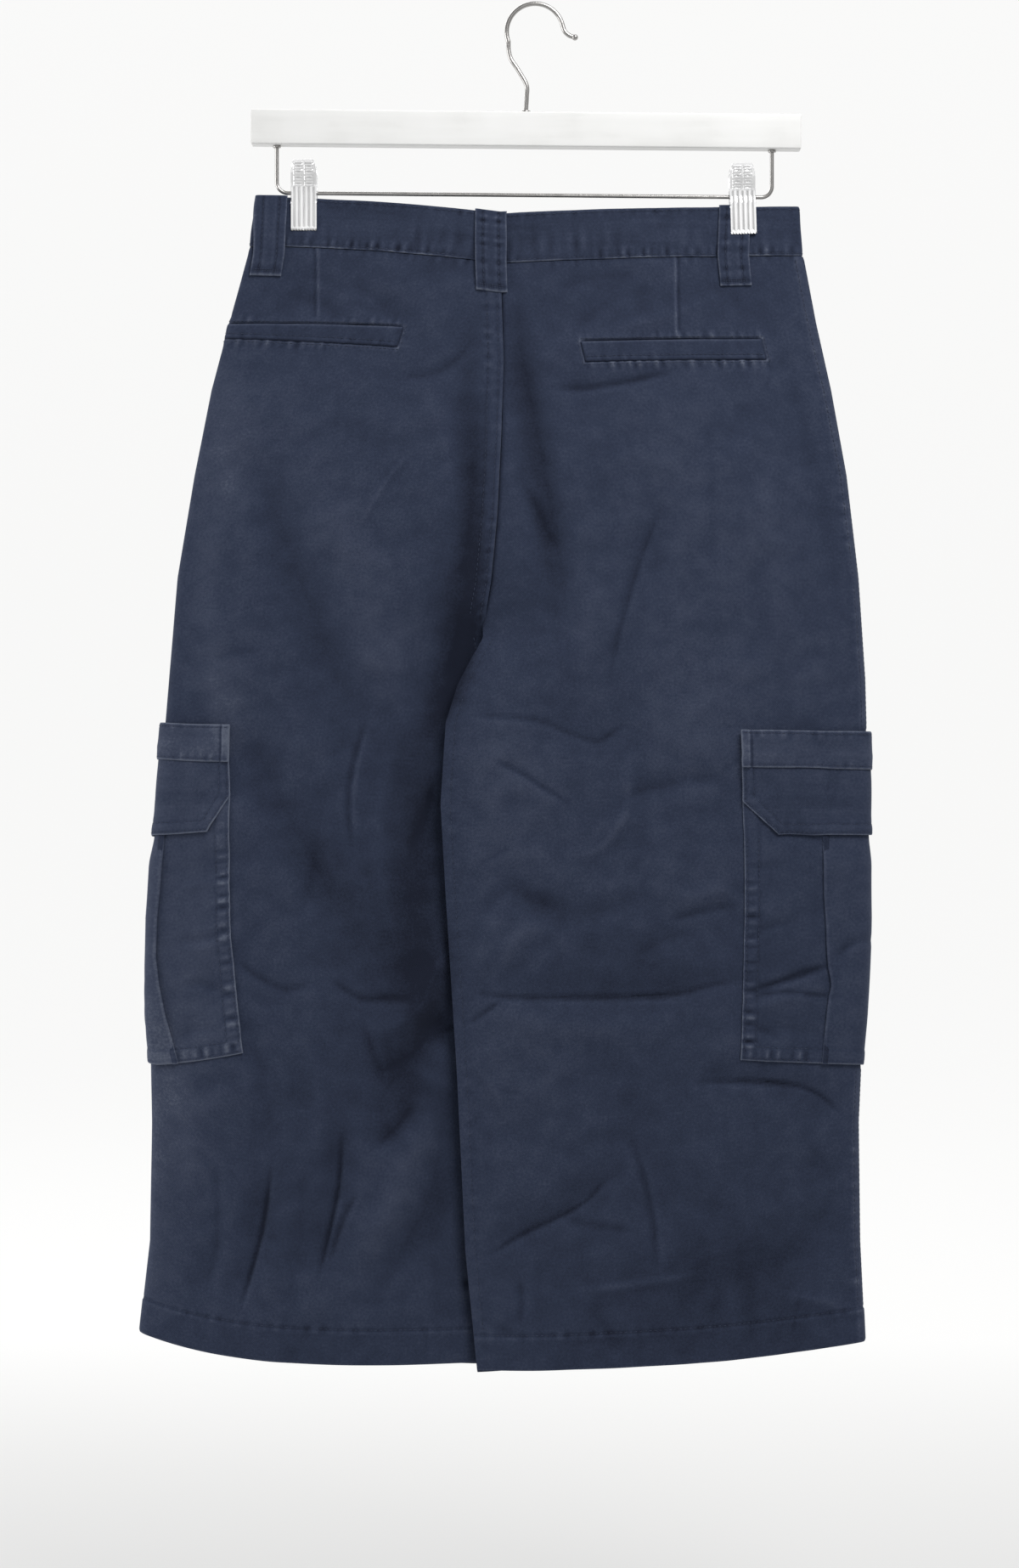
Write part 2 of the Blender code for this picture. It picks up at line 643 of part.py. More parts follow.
def make_waistband(left, right):
    """One strip from the right front's under end, round the back, to the left front's end."""
    under = left["points"][:, -3:][:, ::-1] - left["normals"][:, -3:][:, ::-1] * UNDERLAP_STEP
    right_ring = right["points"].copy()
    right_ring[:, -1] = under[:, 0]
    points = np.concatenate((left["points"][:, ::-1], right_ring[:, 1:], under[:, 1:]), axis=1)
    normals = np.concatenate((left["normals"][:, ::-1], right["normals"][:, 1:],
                              left["normals"][:, -3:-1][:, ::-1]), axis=1)
    triangles = grid_triangles(points.shape[0], points.shape[1])
    worn = new_material("navy_twill_worn", NAVY_WORN, 0.86)
    sheet_solid("waistband", points, points - normals * BAND_WALL, triangles, worn)


def make_belt_loop(name, skins, bands, stations, pressed=False):
    """A loop from below the waist seam up over the band's top edge, through stations across it.

    A station is a side, a lattice column to follow or None, and a distance from it.
    """
    drops = [LOOP_FOOT_DROP, LOOP_FOOT_DROP / 2.0, 0.0]
    drops += [-BAND_HEIGHT * share for share in (0.25, 0.5, 0.75, 1.0)]
    arch = 0.0 if pressed else LOOP_ARCH
    rows = []
    for drop in drops:
        stand = arch * math.sin(math.pi * (LOOP_FOOT_DROP - drop) / (LOOP_FOOT_DROP + BAND_HEIGHT))
        cross = []
        for side, column, offset in stations:
            skin = skins[side] if drop > 0.0 else bands[side]
            distance = offset
            if column is not None:
                distance += np.interp(drop, skin["drops"], skin["distances"][:, column])
            point, normal = skin_point(skin, drop, distance)
            cross.append((point, normal, LOOP_SEAT + stand))
        rows.append(cross)
    inner = [[point + normal * seat for point, normal, seat in cross] for cross in rows]
    outer = [[point + normal * (seat + LOOP_WALL) for point, normal, seat in cross]
             for cross in rows]
    up = np.array((0.0, 0.0, 1.0))
    crest = rows[-1]
    inner.append([point + normal * LOOP_SEAT + up * GAP for point, normal, seat in crest])
    outer.append([point + normal * (seat + LOOP_WALL) + up * (GAP + LOOP_WALL)
                  for point, normal, seat in crest])
    inner.append([point - normal * LOOP_TUCK + up * GAP for point, normal, seat in crest])
    outer.append([point - normal * LOOP_TUCK + up * (GAP + LOOP_WALL)
                  for point, normal, seat in crest])
    navy = new_material("navy_twill", NAVY, 0.86)
    triangles = grid_triangles(len(inner), len(stations))
    sheet_solid(name, np.array(outer), np.array(inner), triangles, navy)


def make_belt_loops(skins, bands):
    half = LOOP_WIDTH / 2.0
    start = BACK_LOOP_FROM_SEAM
    for side in ("left", "right"):
        seam = skins[side]["seam"]
        back = [(side, None, -start), (side, seam - WELT_FIRST, 0.0), (side, None, -start - half),
                (side, seam - WELT_FIRST - 1, 0.0), (side, None, -start - LOOP_WIDTH)]
        make_belt_loop("belt_loop_back_" + side, skins, bands, back, pressed=side == "right")
        start_front = FRONT_LOOP_FROM_SEAM
        front = [(side, None, start_front), (side, None, start_front + half / 2.0),
                 (side, seam + POCKET_COLUMNS, 0.0), (side, None, start_front + LOOP_WIDTH)]
        make_belt_loop("belt_loop_front_" + side, skins, bands, front)
    centre = [("left", 0, half), ("left", 1, 0.0), ("left", 0, 0.0), ("right", 1, 0.0),
              ("right", 0, half)]
    make_belt_loop("belt_loop_centre_back", skins, bands, centre)


def turned_solid(name, profile, sides, place, material):
    """A closed solid turned from (radius, height) points, about the place's own Z axis."""
    points = []
    rings = []
    for radius, height in profile:
        count = sides if radius > 0.0 else 1
        rings.append(range(len(points), len(points) + count))
        for step in range(count):
            angle = 2.0 * math.pi * step / count
            local = Vector((radius * math.cos(angle), radius * math.sin(angle), height))
            points.append(place @ local)
    faces = []
    closed = profile[0][0] > 0.0
    pairs = list(zip(rings, rings[1:])) + ([(rings[-1], rings[0])] if closed else [])
    for first, second in pairs:
        for step in range(sides):
            a, b = first[step % len(first)], first[(step + 1) % len(first)]
            c, d = second[(step + 1) % len(second)], second[step % len(second)]
            faces.append(list(dict.fromkeys((a, b, c, d))))
    return new_solid(name, points, faces, material, smooth_angle=35.0)


def make_waist_button(band):
    """A round button, fastened, on the waistband's upper end."""
    drop = -BAND_HEIGHT / 2.0
    edge = band["distances"][1, -1]
    point, normal = skin_point(band, drop, edge - BUTTON_FROM_EDGE)
    place = Matrix.Translation(Vector(point + normal * BUTTON_SEAT))
    place = place @ Vector(normal).to_track_quat("Z", "Y").to_matrix().to_4x4()
    radius, top, bevel = BUTTON_RADIUS, BUTTON_THICKNESS, BUTTON_BEVEL
    dish = top - BUTTON_DISH
    profile = [                # (radius, height), from the back's middle round to the front's
        (0.0, 0.0),
        (radius - bevel, 0.0),
        (radius, bevel),
        (radius, top - bevel),
        (radius - bevel, top),
        (radius - BUTTON_RIM, top),
        (radius - BUTTON_RIM - bevel, dish),
        (0.0, dish),
    ]
    button = new_material("button_navy", BUTTON_NAVY, 0.45)
    turned_solid("waist_button", profile, 20, place, button)


# ---------------------------------------------------------------- the hanger

def smooth_route(points, steps):
    """A Catmull-Rom curve through (x, below) points."""
    points = [np.array(point) for point in points]
    points = [2 * points[0] - points[1]] + points + [2 * points[-1] - points[-2]]
    route = []
    for a, b, c, d in zip(points, points[1:], points[2:], points[3:]):
        for step in range(steps):
            t = step / steps
            route.append(0.5 * (2 * b + (c - a) * t + (2 * a - 5 * b + 4 * c - d) * t ** 2
                                + (3 * b - a - 3 * c + d) * t ** 3))
    return route + [points[-2]]


def make_wire(name, route, diameter):
    """Round wire in the XZ plane along (x, below) points."""
    curve = bpy.data.curves.new(name, "CURVE")
    curve.dimensions = "3D"
    curve.bevel_depth = diameter / 2.0 * MM
    curve.bevel_resolution = 2
    curve.use_fill_caps = True
    spline = curve.splines.new("POLY")
    spline.points.add(len(route) - 1)
    for point, (x, below) in zip(spline.points, route):
        point.co = (x * MM, 0.0, -below * MM, 1.0)
    curve.materials.append(new_material("bright_steel", CHROME, 0.25, 1.0))
    wire = bpy.data.objects.new(name, curve)
    bpy.context.collection.objects.link(wire)
    return wire


def arc_route(centre, radius, start, end, steps):
    """Points of an arc, angles in degrees, anticlockwise from +X with Z up."""
    angles = np.radians(np.linspace(start, end, steps + 1))
    return [(centre[0] + radius * math.cos(a), centre[1] - radius * math.sin(a)) for a in angles]


def bar_face_below(x, face):
    """The bar's top or bottom face, below the hook, at a given x."""
    half = BAR_SIZE[2] / 2.0 * (-1.0 if face == "top" else 1.0)
    return -BAR_CENTRE[2] + half / math.cos(BAR_TILT) + math.tan(BAR_TILT) * (x - BAR_CENTRE[0])


def make_bar():
    mesh = bpy.data.meshes.new("hanger_bar")
    shape = bmesh.new()
    place = Matrix.Translation(Vector(BAR_CENTRE) * MM) @ Matrix.Rotation(BAR_TILT, 4, "Y")
    size = Matrix.Diagonal((*(value * MM for value in BAR_SIZE), 1.0))
    bmesh.ops.create_cube(shape, size=1.0, matrix=place @ size)
    bmesh.ops.bevel(shape, geom=list(shape.edges), offset=BAR_EDGE * MM, segments=2, profile=0.5,
                    affect="EDGES")
    shape.to_mesh(mesh)
    shape.free()
    mesh.shade_smooth()
    mesh.set_sharp_from_angle(angle=math.radians(40.0))
    mesh.materials.append(new_material("white_paint", WHITE_PAINT, 0.45))
    bar = bpy.data.objects.new("hanger_bar", mesh)
    bpy.context.collection.objects.link(bar)


def make_hook():
    stem = list(HOOK_STEM)
    stem[0] = (stem[0][0], bar_face_below(stem[0][0], "top") - GAP)
    centre = (0.0, HOOK_RADIUS - HOOK_WIRE / 2.0)
    loop = arc_route(centre, HOOK_RADIUS, HOOK_ARC_START, HOOK_ARC_END, 18)
    route = smooth_route(stem + [loop[0]], 3)[:-1] + loop + smooth_route([loop[-1]] + HOOK_TIP, 3)[1:]
    make_wire("hanger_hook", route, HOOK_WIRE)


def rail_below(x):
    share = (x - RAIL_LEFT_X) / (RAIL_RIGHT_X - RAIL_LEFT_X)
    return mix(RAIL_LEFT_BELOW, RAIL_RIGHT_BELOW, share)


def make_rail():
    """The wire rail: down from the bar, across under it, and up again."""
    left, right = RAIL_LEFT_X, RAIL_RIGHT_X
    left_centre = (left + RAIL_BEND, rail_below(left) - RAIL_BEND)
    right_centre = (right - RAIL_BEND, rail_below(right) - RAIL_BEND)
    route = [(left, bar_face_below(left, "bottom") + GAP)]
    route += arc_route(left_centre, RAIL_BEND, 180.0, 270.0, 5)
    route += [(x, rail_below(x)) for x in np.linspace(left_centre[0], right_centre[0], 9)[1:-1]]
    route += arc_route(right_centre, RAIL_BEND, 270.0, 360.0, 5)
    route += [(right, bar_face_below(right, "bottom") + GAP)]
    make_wire("hanger_rail", route, RAIL_WIRE)


def make_clip_plate(name, centre_x, facing, grip):
    """One spring-steel jaw: ridged below the rail, splayed as a finger grip above it."""
    rail = rail_below(centre_x)
    seat = SPRING_RADIUS + GAP
    profile = [               # (below, inner face's distance from the rail's plane)
        (rail - CLIP_ABOVE_RAIL, CLIP_SPLAY),
        (rail - 0.6 * CLIP_ABOVE_RAIL, 0.8 * CLIP_SPLAY),
        (rail - 0.25 * CLIP_ABOVE_RAIL, seat + 0.8),
        (rail, seat),
        (rail + 0.15 * CLIP_BELOW_RAIL, max(seat, grip)),
        (rail + 0.6 * CLIP_BELOW_RAIL, max(seat, grip)),
        (rail + 0.95 * CLIP_BELOW_RAIL, grip),
        (rail + CLIP_BELOW_RAIL, grip),
    ]
    columns = 2 * CLIP_RIDGES + 1
    outer = np.zeros((len(profile), columns, 3))
    inner = np.zeros((len(profile), columns, 3))
    for row, (below, away) in enumerate(profile):
        for column in range(columns):
            x = centre_x + CLIP_WIDTH * (column / (columns - 1) - 0.5)
            ridge = CLIP_RIDGE if column % 2 == 1 else 0.0
            inner[row, column] = (x, facing * away, -below)
            outer[row, column] = (x, facing * (away + CLIP_SHEET + ridge), -below)
    chrome = new_material("bright_steel", CHROME, 0.25, 1.0)
    sheet_solid(name, outer, inner, grid_triangles(len(profile), columns), chrome)


def make_clip(side, centre_x, grip_back, grip_front):
    """A pair of jaws on the rail, with the spring coil between them."""
    make_clip_plate("clip_" + side + "_back_jaw", centre_x, -1.0, grip_back)
    make_clip_plate("clip_" + side + "_front_jaw", centre_x, 1.0, grip_front)
    tilt = math.atan2(RAIL_RIGHT_BELOW - RAIL_LEFT_BELOW, RAIL_RIGHT_X - RAIL_LEFT_X)
    place = Matrix.Translation(Vector((centre_x, 0.0, -rail_below(centre_x))))
    place = place @ Matrix.Rotation(math.pi / 2.0 + tilt, 4, "Y")
    inside = RAIL_WIRE / 2.0 + GAP
    half = SPRING_WIDTH / 2.0
    profile = [(inside, -half), (SPRING_RADIUS, -half), (SPRING_RADIUS, half), (inside, half)]
    chrome = new_material("bright_steel", CHROME, 0.25, 1.0)
    turned_solid("clip_" + side + "_spring", profile, 16, place, chrome)


def build():
    for old in list(bpy.data.objects):
        bpy.data.objects.remove(old)
    skins = {side: leg_skin(side) for side in ("left", "right")}
    bands = {side: band_skin(side) for side in ("left", "right")}
    for side in ("left", "right"):
        make_panel(skins[side], "back")
        make_panel(skins[side], "front")
        make_welt(skins[side])
        make_hand_pocket(skins[side])
        make_cargo_pocket(skins[side])
    make_fly(skins["left"])
    make_waistband(bands["left"], bands["right"])
    make_belt_loops(skins, bands)
    make_waist_button(bands["left"])
    make_bar()
    make_hook()
    make_rail()
    cloth_face = WAIST_DEPTH.at(LEFT_CLIP_X, "half")
    loop_face = cloth_face + LOOP_SEAT + LOOP_WALL
    make_clip("left", LEFT_CLIP_X, cloth_face + GAP, cloth_face + GAP)
    make_clip("right", RIGHT_CLIP_X, loop_face + GAP, cloth_face + GAP)


build()
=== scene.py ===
import math

import bpy
import numpy as np
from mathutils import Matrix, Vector


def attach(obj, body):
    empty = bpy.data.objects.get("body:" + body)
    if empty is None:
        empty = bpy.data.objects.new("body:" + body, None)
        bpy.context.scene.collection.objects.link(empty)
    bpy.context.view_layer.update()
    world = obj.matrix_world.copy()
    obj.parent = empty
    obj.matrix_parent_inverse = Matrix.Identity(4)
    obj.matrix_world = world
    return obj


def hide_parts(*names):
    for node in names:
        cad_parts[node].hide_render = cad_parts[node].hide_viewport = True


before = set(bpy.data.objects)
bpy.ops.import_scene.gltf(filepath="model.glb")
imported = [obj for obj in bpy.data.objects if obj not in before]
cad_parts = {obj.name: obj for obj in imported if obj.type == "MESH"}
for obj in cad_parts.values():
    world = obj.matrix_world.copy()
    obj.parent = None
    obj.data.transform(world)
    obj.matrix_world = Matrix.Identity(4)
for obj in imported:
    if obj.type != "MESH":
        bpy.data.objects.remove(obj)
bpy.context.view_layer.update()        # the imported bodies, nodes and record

mm = 0.001
sides = ("left", "right")


def pick(piece):
    bpy.ops.object.select_all(action="DESELECT")
    piece.select_set(True)
    bpy.context.view_layer.objects.active = piece


def applyModifier(kind, **settings):
    # adds a modifier to the active piece and applies it
    bpy.ops.object.modifier_add(type=kind)
    modifier = bpy.context.object.modifiers[-1]
    for setting, value in settings.items():
        setattr(modifier, setting, value)
    bpy.ops.object.modifier_apply(modifier=modifier.name)


def editAll(step, **settings):
    # one step of edit mode on all of the active piece
    bpy.ops.object.mode_set(mode="EDIT")
    bpy.ops.mesh.select_all(action="SELECT")
    step(**settings)
    bpy.ops.object.mode_set(mode="OBJECT")


# camera, light and room first

studio = {
    "cameraX": -0.0165,
    "cameraZ": -0.5026,
    "cameraAway": 2.2,
    "sensor": 36.0,
    "frameHeight": 1.0129,     # how much of the object's plane the tall side takes in
    "floorZ": -1.06,
    "roomRadius": 6.0,
    "roomHeight": 6.5,
    "roomSquareness": 4.0,
    "roomPaint": (0.15, 0.15, 0.149, 1.0),
    "glowColour": (1.0, 1.0, 0.995, 1.0),
    "glowLow": 0.80,
    "glowHigh": 0.84,
    "glowTop": 2.0,            # the height from which the glow is the high one
    "nearWallShare": 0.31,     # the glow of the wall behind the camera, next to the far one's
    "nearWallY": -1.6,
    "farWallY": 1.2,
    "worldColour": (0.8, 0.8, 0.8, 1.0),
    "worldStrength": 0.4,
    "lamps": {                 # power, size, place and target; the card is there for the chrome
        "keyLamp": (25.0, 0.8, (0.60, -1.10, 0.90), (0.0, 0.0, -0.42)),
        "fillLamp": (30.0, 1.6, (-2.3, -0.30, -0.40), (-0.0165, 0.0, -0.5026)),
        "cardLamp": (5.0, 1.6, (0.0, -2.6, -0.10), (0.0, 0.0, -0.10)),
        "backKeyLamp": (20.0, 1.3, (-0.75, 1.9, 1.0), (-0.0165, 0.0, -0.5026)),
    },
}


def addLamp(name, power, size, at, target):
    bpy.ops.object.light_add(type="AREA", location=at)
    lamp = bpy.context.object
    lamp.name = name
    lamp.data.energy = power
    lamp.data.size = size
    lamp.visible_camera = False
    away = Vector(target) - lamp.location
    lamp.rotation_euler = away.to_track_quat("-Z", "Y").to_euler()


def makeStudio():
    look = studio
    scene = bpy.context.scene
    bpy.ops.object.select_all(action="DESELECT")
    bpy.ops.object.camera_add(location=(look["cameraX"], -look["cameraAway"], look["cameraZ"]),
                              rotation=(math.pi / 2, 0.0, 0.0))
    scene.camera = bpy.context.object
    scene.camera.data.sensor_width = look["sensor"]
    scene.camera.data.lens = look["sensor"] * look["cameraAway"] / look["frameHeight"]
    scene.view_settings.view_transform = "Standard"
    for name, lamp in look["lamps"].items():
        addLamp(name, *lamp)
    scene.world = scene.world or bpy.data.worlds.new("studioWorld")
    scene.world.use_nodes = True
    setInputs(scene.world.node_tree.nodes["Background"],
              {"Color": look["worldColour"], "Strength": look["worldStrength"]})

    # one pale room without corners: a ball squared off towards a flat floor
    bpy.ops.mesh.primitive_uv_sphere_add(segments=96, ring_count=64, radius=1.0)
    room = bpy.context.object
    room.name = "room"
    power = look["roomSquareness"]
    half = look["roomHeight"] / 2
    for vertex in room.data.vertices:
        across = math.hypot(vertex.co.x, vertex.co.y)
        grow = (across ** power + abs(vertex.co.z) ** power) ** (-1 / power)
        vertex.co.x *= grow * look["roomRadius"]
        vertex.co.y *= grow * look["roomRadius"]
        vertex.co.z = vertex.co.z * grow * half + half + look["floorZ"]
    bpy.ops.object.shade_smooth()
    editAll(bpy.ops.mesh.flip_normals)

    paint, shader = newMaterial("roomPaint", {
        "Base Color": look["roomPaint"],
        "Roughness": 0.9,
        "Specular IOR Level": 0.1,
        "Emission Color": look["glowColour"],
    })
    split = addNode(paint, "ShaderNodeSeparateXYZ")
    join(paint, objectPlace(paint), split.inputs[0])
    glow = rangeNode(paint, split.outputs["Z"], (look["floorZ"], look["glowTop"]),
                     (look["glowLow"], look["glowHigh"]))
    depth = rangeNode(paint, split.outputs["Y"], (look["nearWallY"], look["farWallY"]),
                      (look["nearWallShare"], 1.0))
    join(paint, mathNode(paint, "MULTIPLY", glow, depth), shader.inputs["Emission Strength"])
    paint.cycles.emission_sampling = "NONE"
    room.data.materials.append(paint)
    print("studio ready")


# small helpers for materials


def finishPiece(piece, finish):
    piece.data.materials.clear()
    piece.data.materials.append(finishes[finish])
    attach(piece, "root")


def setInputs(node, values):
    for name, value in values.items():
        node.inputs[name].default_value = value


def newMaterial(name, values):
    # a material and its shader, which takes the plain values
    material = bpy.data.materials.new(name)
    material.use_nodes = True
    shader = material.node_tree.nodes["Principled BSDF"]
    setInputs(shader, values)
    return material, shader


def addNode(material, kind, **settings):
    node = material.node_tree.nodes.new(kind)
    for setting, value in settings.items():
        setattr(node, setting, value)
    return node


def join(material, start, end):
    material.node_tree.links.new(start, end)


def objectPlace(material):
    return addNode(material, "ShaderNodeTexCoord").outputs["Object"]


def toneOf(material):
    return addNode(material, "ShaderNodeAttribute", attribute_name="tone").outputs["Fac"]


def mathNode(material, operation, *values):
    # a Math node fed with sockets or plain numbers, which gives back its output
    node = addNode(material, "ShaderNodeMath", operation=operation)
    for socket, value in zip(node.inputs, values):
        if isinstance(value, (int, float)):
            socket.default_value = value
        else:
            join(material, value, socket)
    return node.outputs[0]


def rangeNode(material, value, inRange, outRange):
    node = addNode(material, "ShaderNodeMapRange")
    setInputs(node, dict(zip(("From Min", "From Max", "To Min", "To Max"), inRange + outRange)))
    join(material, value, node.inputs["Value"])
    return node.outputs[0]


def noiseNode(material, coordinates, scale, detail=2.0, stretch=(1.0, 1.0, 1.0), roughness=0.5):
    mapping = addNode(material, "ShaderNodeMapping")
    noise = addNode(material, "ShaderNodeTexNoise")
    setInputs(mapping, {"Scale": stretch})
    setInputs(noise, {"Scale": scale, "Detail": detail, "Roughness": roughness})
    join(material, coordinates, mapping.inputs["Vector"])
    join(material, mapping.outputs[0], noise.inputs["Vector"])
    return noise.outputs["Fac"]


def colourRamp(material, value, stops):
    node = addNode(material, "ShaderNodeValToRGB")
    elements = node.color_ramp.elements
    while len(elements) < len(stops):
        elements.new(0.5)
    for element, (place, colour) in zip(elements, stops):
        element.position = place
        element.color = (*colour, 1.0)
    join(material, value, node.inputs["Fac"])
    return node.outputs["Color"]


def bumpNode(material, height, strength, distance, under=None):
    bump = addNode(material, "ShaderNodeBump")
    setInputs(bump, {"Strength": strength, "Distance": distance})
    join(material, height, bump.inputs["Height"])
    if under is not None:
        join(material, under, bump.inputs["Normal"])
    return bump.outputs["Normal"]


# finishes

twillLook = {
    "shadedHollow": (0.0085, 0.0115, 0.0240),   # painted shade deep in a fold or seam
    "body": (0.0242, 0.0326, 0.0606),
    # worn edges, and painted light on crests and lit places
    "worn": (0.0420, 0.0520, 0.0860),
    "fadedAndLit": (0.0950, 0.1100, 0.1520),    # faded on pressed edges, and a painted highlight on the crests of puckers
    "roughness": 0.90,
    "gloss": 0.16,
    "sheen": 0.10,
    "sheenTint": (0.55, 0.62, 0.80, 1.0),
    "wale": 0.00085,                      # from one diagonal rib of the twill to the next
    "speckle": 0.30,
    "mottle": 0.16,
    "cloud": 0.08,
    "streak": 0.0,
}
trimLook = dict(twillLook, streak=0.14, body=(0.0250, 0.0334, 0.0612))


def makeTwill(name, look):
    material, shader = newMaterial(name, {
        "Roughness": look["roughness"],
        "Specular IOR Level": look["gloss"],
        "Sheen Weight": look["sheen"],
        "Sheen Roughness": 0.45,
        "Sheen Tint": look["sheenTint"],
    })
    cloth = addNode(material, "ShaderNodeUVMap", uv_map="cloth").outputs[0]   # metres on the cloth
    value = toneOf(material)
    for share, noise in (("speckle", (620.0, 3.0, (1.0, 1.0, 1.0), 0.7)), ("mottle", (95.0, 3.0)),
                         ("cloud", (11.0, 2.0, (1.0, 0.55, 1.0))), ("streak", (60.0, 3.0, (0.25, 4.0, 1.0)))):
        centred = mathNode(material, "SUBTRACT", noiseNode(material, cloth, *noise), 0.5)
        value = mathNode(material, "MULTIPLY_ADD", centred, look[share] * 2.0, value)
    # the tone attribute brings wear and painted light and shade: low tones are painted shade in hollows, high
    # ones worn edges and painted highlights
    colour = colourRamp(material, value, [
        (0.05, look["shadedHollow"]), (0.48, look["body"]), (0.72, look["worn"]), (1.0, look["fadedAndLit"])])
    join(material, colour, shader.inputs["Base Color"])

    twist = addNode(material, "ShaderNodeTexWave", wave_type="BANDS", bands_direction="DIAGONAL")
    setInputs(twist, {"Scale": 2 * math.pi / (10.0 * math.sqrt(2.0) * look["wale"]),
                      "Distortion": 0.8, "Detail Scale": 2.0})
    join(material, cloth, twist.inputs["Vector"])
    slub = noiseNode(material, cloth, 900.0, 2.0, (1.0, 0.35, 1.0))
    crumple = noiseNode(material, cloth, 120.0, 4.0, roughness=0.62)
    weave = mathNode(material, "MULTIPLY_ADD", slub, 1.3, twist.outputs["Fac"])
    soft = bumpNode(material, crumple, 0.30, 0.0013)
    join(material, bumpNode(material, weave, 0.34, 0.00022, soft), shader.inputs["Normal"])
    return material


def makeThread(name, colour):
    material, shader = newMaterial(name, {"Roughness": 0.7, "Specular IOR Level": 0.3})
    lint = noiseNode(material, objectPlace(material), 420.0)
    pale = [part * 1.9 for part in colour]
    join(material, colourRamp(material, lint, [(0.35, colour), (0.68, pale)]), shader.inputs["Base Color"])
    return material


metals = {
    "steel": {"colour": (0.42, 0.41, 0.40), "roughness": 0.20, "grain": 0.12, "metal": 1.0},
    "chrome": {"colour": (0.95, 0.95, 0.955), "roughness": 0.18, "grain": 0.08, "metal": 0.5},
}


def makeMetal(name, look, shadedGrooves):
    # pressed plates carry painted shade from their tone attribute, dark in their grooves
    material, shader = newMaterial(name, {"Metallic": look["metal"]})
    place = objectPlace(material)
    smear = noiseNode(material, place, 160.0, 3.0, (1.0, 1.0, 0.3))
    value = mathNode(material, "MULTIPLY_ADD", smear, 0.4, 0.55)
    if shadedGrooves:
        value = mathNode(material, "MULTIPLY", value, toneOf(material))
    stops = [(at, [part * share for part in look["colour"]])
             for at, share in ((0.05, 0.08), (0.55, 0.75), (0.80, 1.0))]
    join(material, colourRamp(material, value, stops), shader.inputs["Base Color"])
    join(material, mathNode(material, "MULTIPLY_ADD", smear, look["grain"], look["roughness"]),
         shader.inputs["Roughness"])
    join(material, bumpNode(material, noiseNode(material, place, 900.0), 0.06, 0.0002),
         shader.inputs["Normal"])
    return material


def makePaint(name):
    material, shader = newMaterial(name, {})
    place = objectPlace(material)
    grain = noiseNode(material, place, 90.0, 3.0, (0.10, 1.0, 1.0))
    scuff = noiseNode(material, place, 26.0, 4.0)
    value = mathNode(material, "MULTIPLY_ADD", scuff, 0.5, mathNode(material, "MULTIPLY", grain, 0.5))
    stops = [(0.28, (0.66, 0.66, 0.645)), (0.48, (0.75, 0.75, 0.74)), (0.70, (0.79, 0.79, 0.785))]
    join(material, colourRamp(material, value, stops), shader.inputs["Base Color"])
    join(material, mathNode(material, "MULTIPLY_ADD", scuff, 0.16, 0.32), shader.inputs["Roughness"])
    join(material, bumpNode(material, grain, 0.10, 0.0004), shader.inputs["Normal"])
    return material


def makeButtonFinish(name):
    material, shader = newMaterial(name, {})
    swirl = noiseNode(material, objectPlace(material), 240.0, 4.0, (1.0, 1.0, 2.0), 0.6)
    stops = [(0.35, (0.016, 0.020, 0.034)), (0.66, (0.040, 0.048, 0.072))]
    join(material, colourRamp(material, swirl, stops), shader.inputs["Base Color"])
    join(material, mathNode(material, "MULTIPLY_ADD", swirl, 0.2, 0.28), shader.inputs["Roughness"])
    join(material, bumpNode(material, swirl, 0.05, 0.0003), shader.inputs["Normal"])
    return material


# the skin of each leg, in millimetres: the same form as the solids, with finer creases

def unit(value):
    return np.clip(value, 0.0, 1.0)


def smooth(value):
    value = unit(value)
    return value * value * (3.0 - 2.0 * value)


def swell(value):
    return np.sin(unit(value) * math.pi / 2)


def mix(first, second, share):
    return first + (second - first) * share


def read(table, key, column):
    # a table's first column is the key, and values between its rows are in proportion
    return np.interp(key, next(iter(table.values())), table[column])


def arcLength(points):
    # the way so far at each point of a line
    return np.concatenate(([0.0], np.cumsum(np.linalg.norm(np.diff(points, axis=0), axis=1))))


outline = {                   # the outer folds, by how far they lie below the hook
    "below": [122, 160.8, 204.7, 248.6, 303.4, 369.3, 435.1, 501, 588.8, 654.6, 720.5, 797.3, 852.1, 880],
    "left": [-179.5, -185.5, -197.5, -209.1, -220, -231, -236.5, -242, -248.6, -248.8, -247.5, -248.8,
             -255.1, -257],
    "right": [170.4, 172.8, 181.1, 190.9, 200.8, 208.5, 212.9, 214.6, 214.2, 211.6, 208.7, 209.6,
              212.3, 213.5],
}
innerEdge = {                 # centre seams, then inner leg folds, by their drop from the waist seam
    "drop": [0, 60, 110, 160, 203, 230, 238, 251, 268, 292, 343, 401, 511, 624, 700],
    "Back": [-22, -20.2, -21.6, -24.2, -28.2],
    "Front": [11, 9, 4, -5, -18],
    "left": [-33, -33.4, -31, -27, -23, -18, -15, -13, -13, -13],
    "right": [-33, -32.6, -41, -50, -57.6, -60.9, -57.6, -50.5, -45, -37.3],
    "lean": [0, 0, 0, 0, 0, 0, 3.2, 6, 8.5, 10.5, 11.5, 11, 10, 9, 8],
}
for side in sides:
    for face in ("Back", "Front"):
        innerEdge[side + face] = innerEdge[face] + innerEdge[side]
halfDepth = {
    "drop": [0, 60, 150, 230, 350, 520, 620, 700],
    "left": [10, 12.5, 16.5, 18.5, 17.5, 16.5, 16, 16.5],
    "right": [10, 12, 15.5, 18, 18, 17, 15.5, 14.5],
    "fold": [2.7, 3.2, 4.5, 5.5, 6.5, 6, 5.5, 5.5],
}
waistDepth = {
    "x": [-186, -136, -100, -60, -10, 40, 90, 120, 176],
    "half": [2.7, 2.7, 6, 9, 10.5, 9, 6, 2.7, 2.7],
}
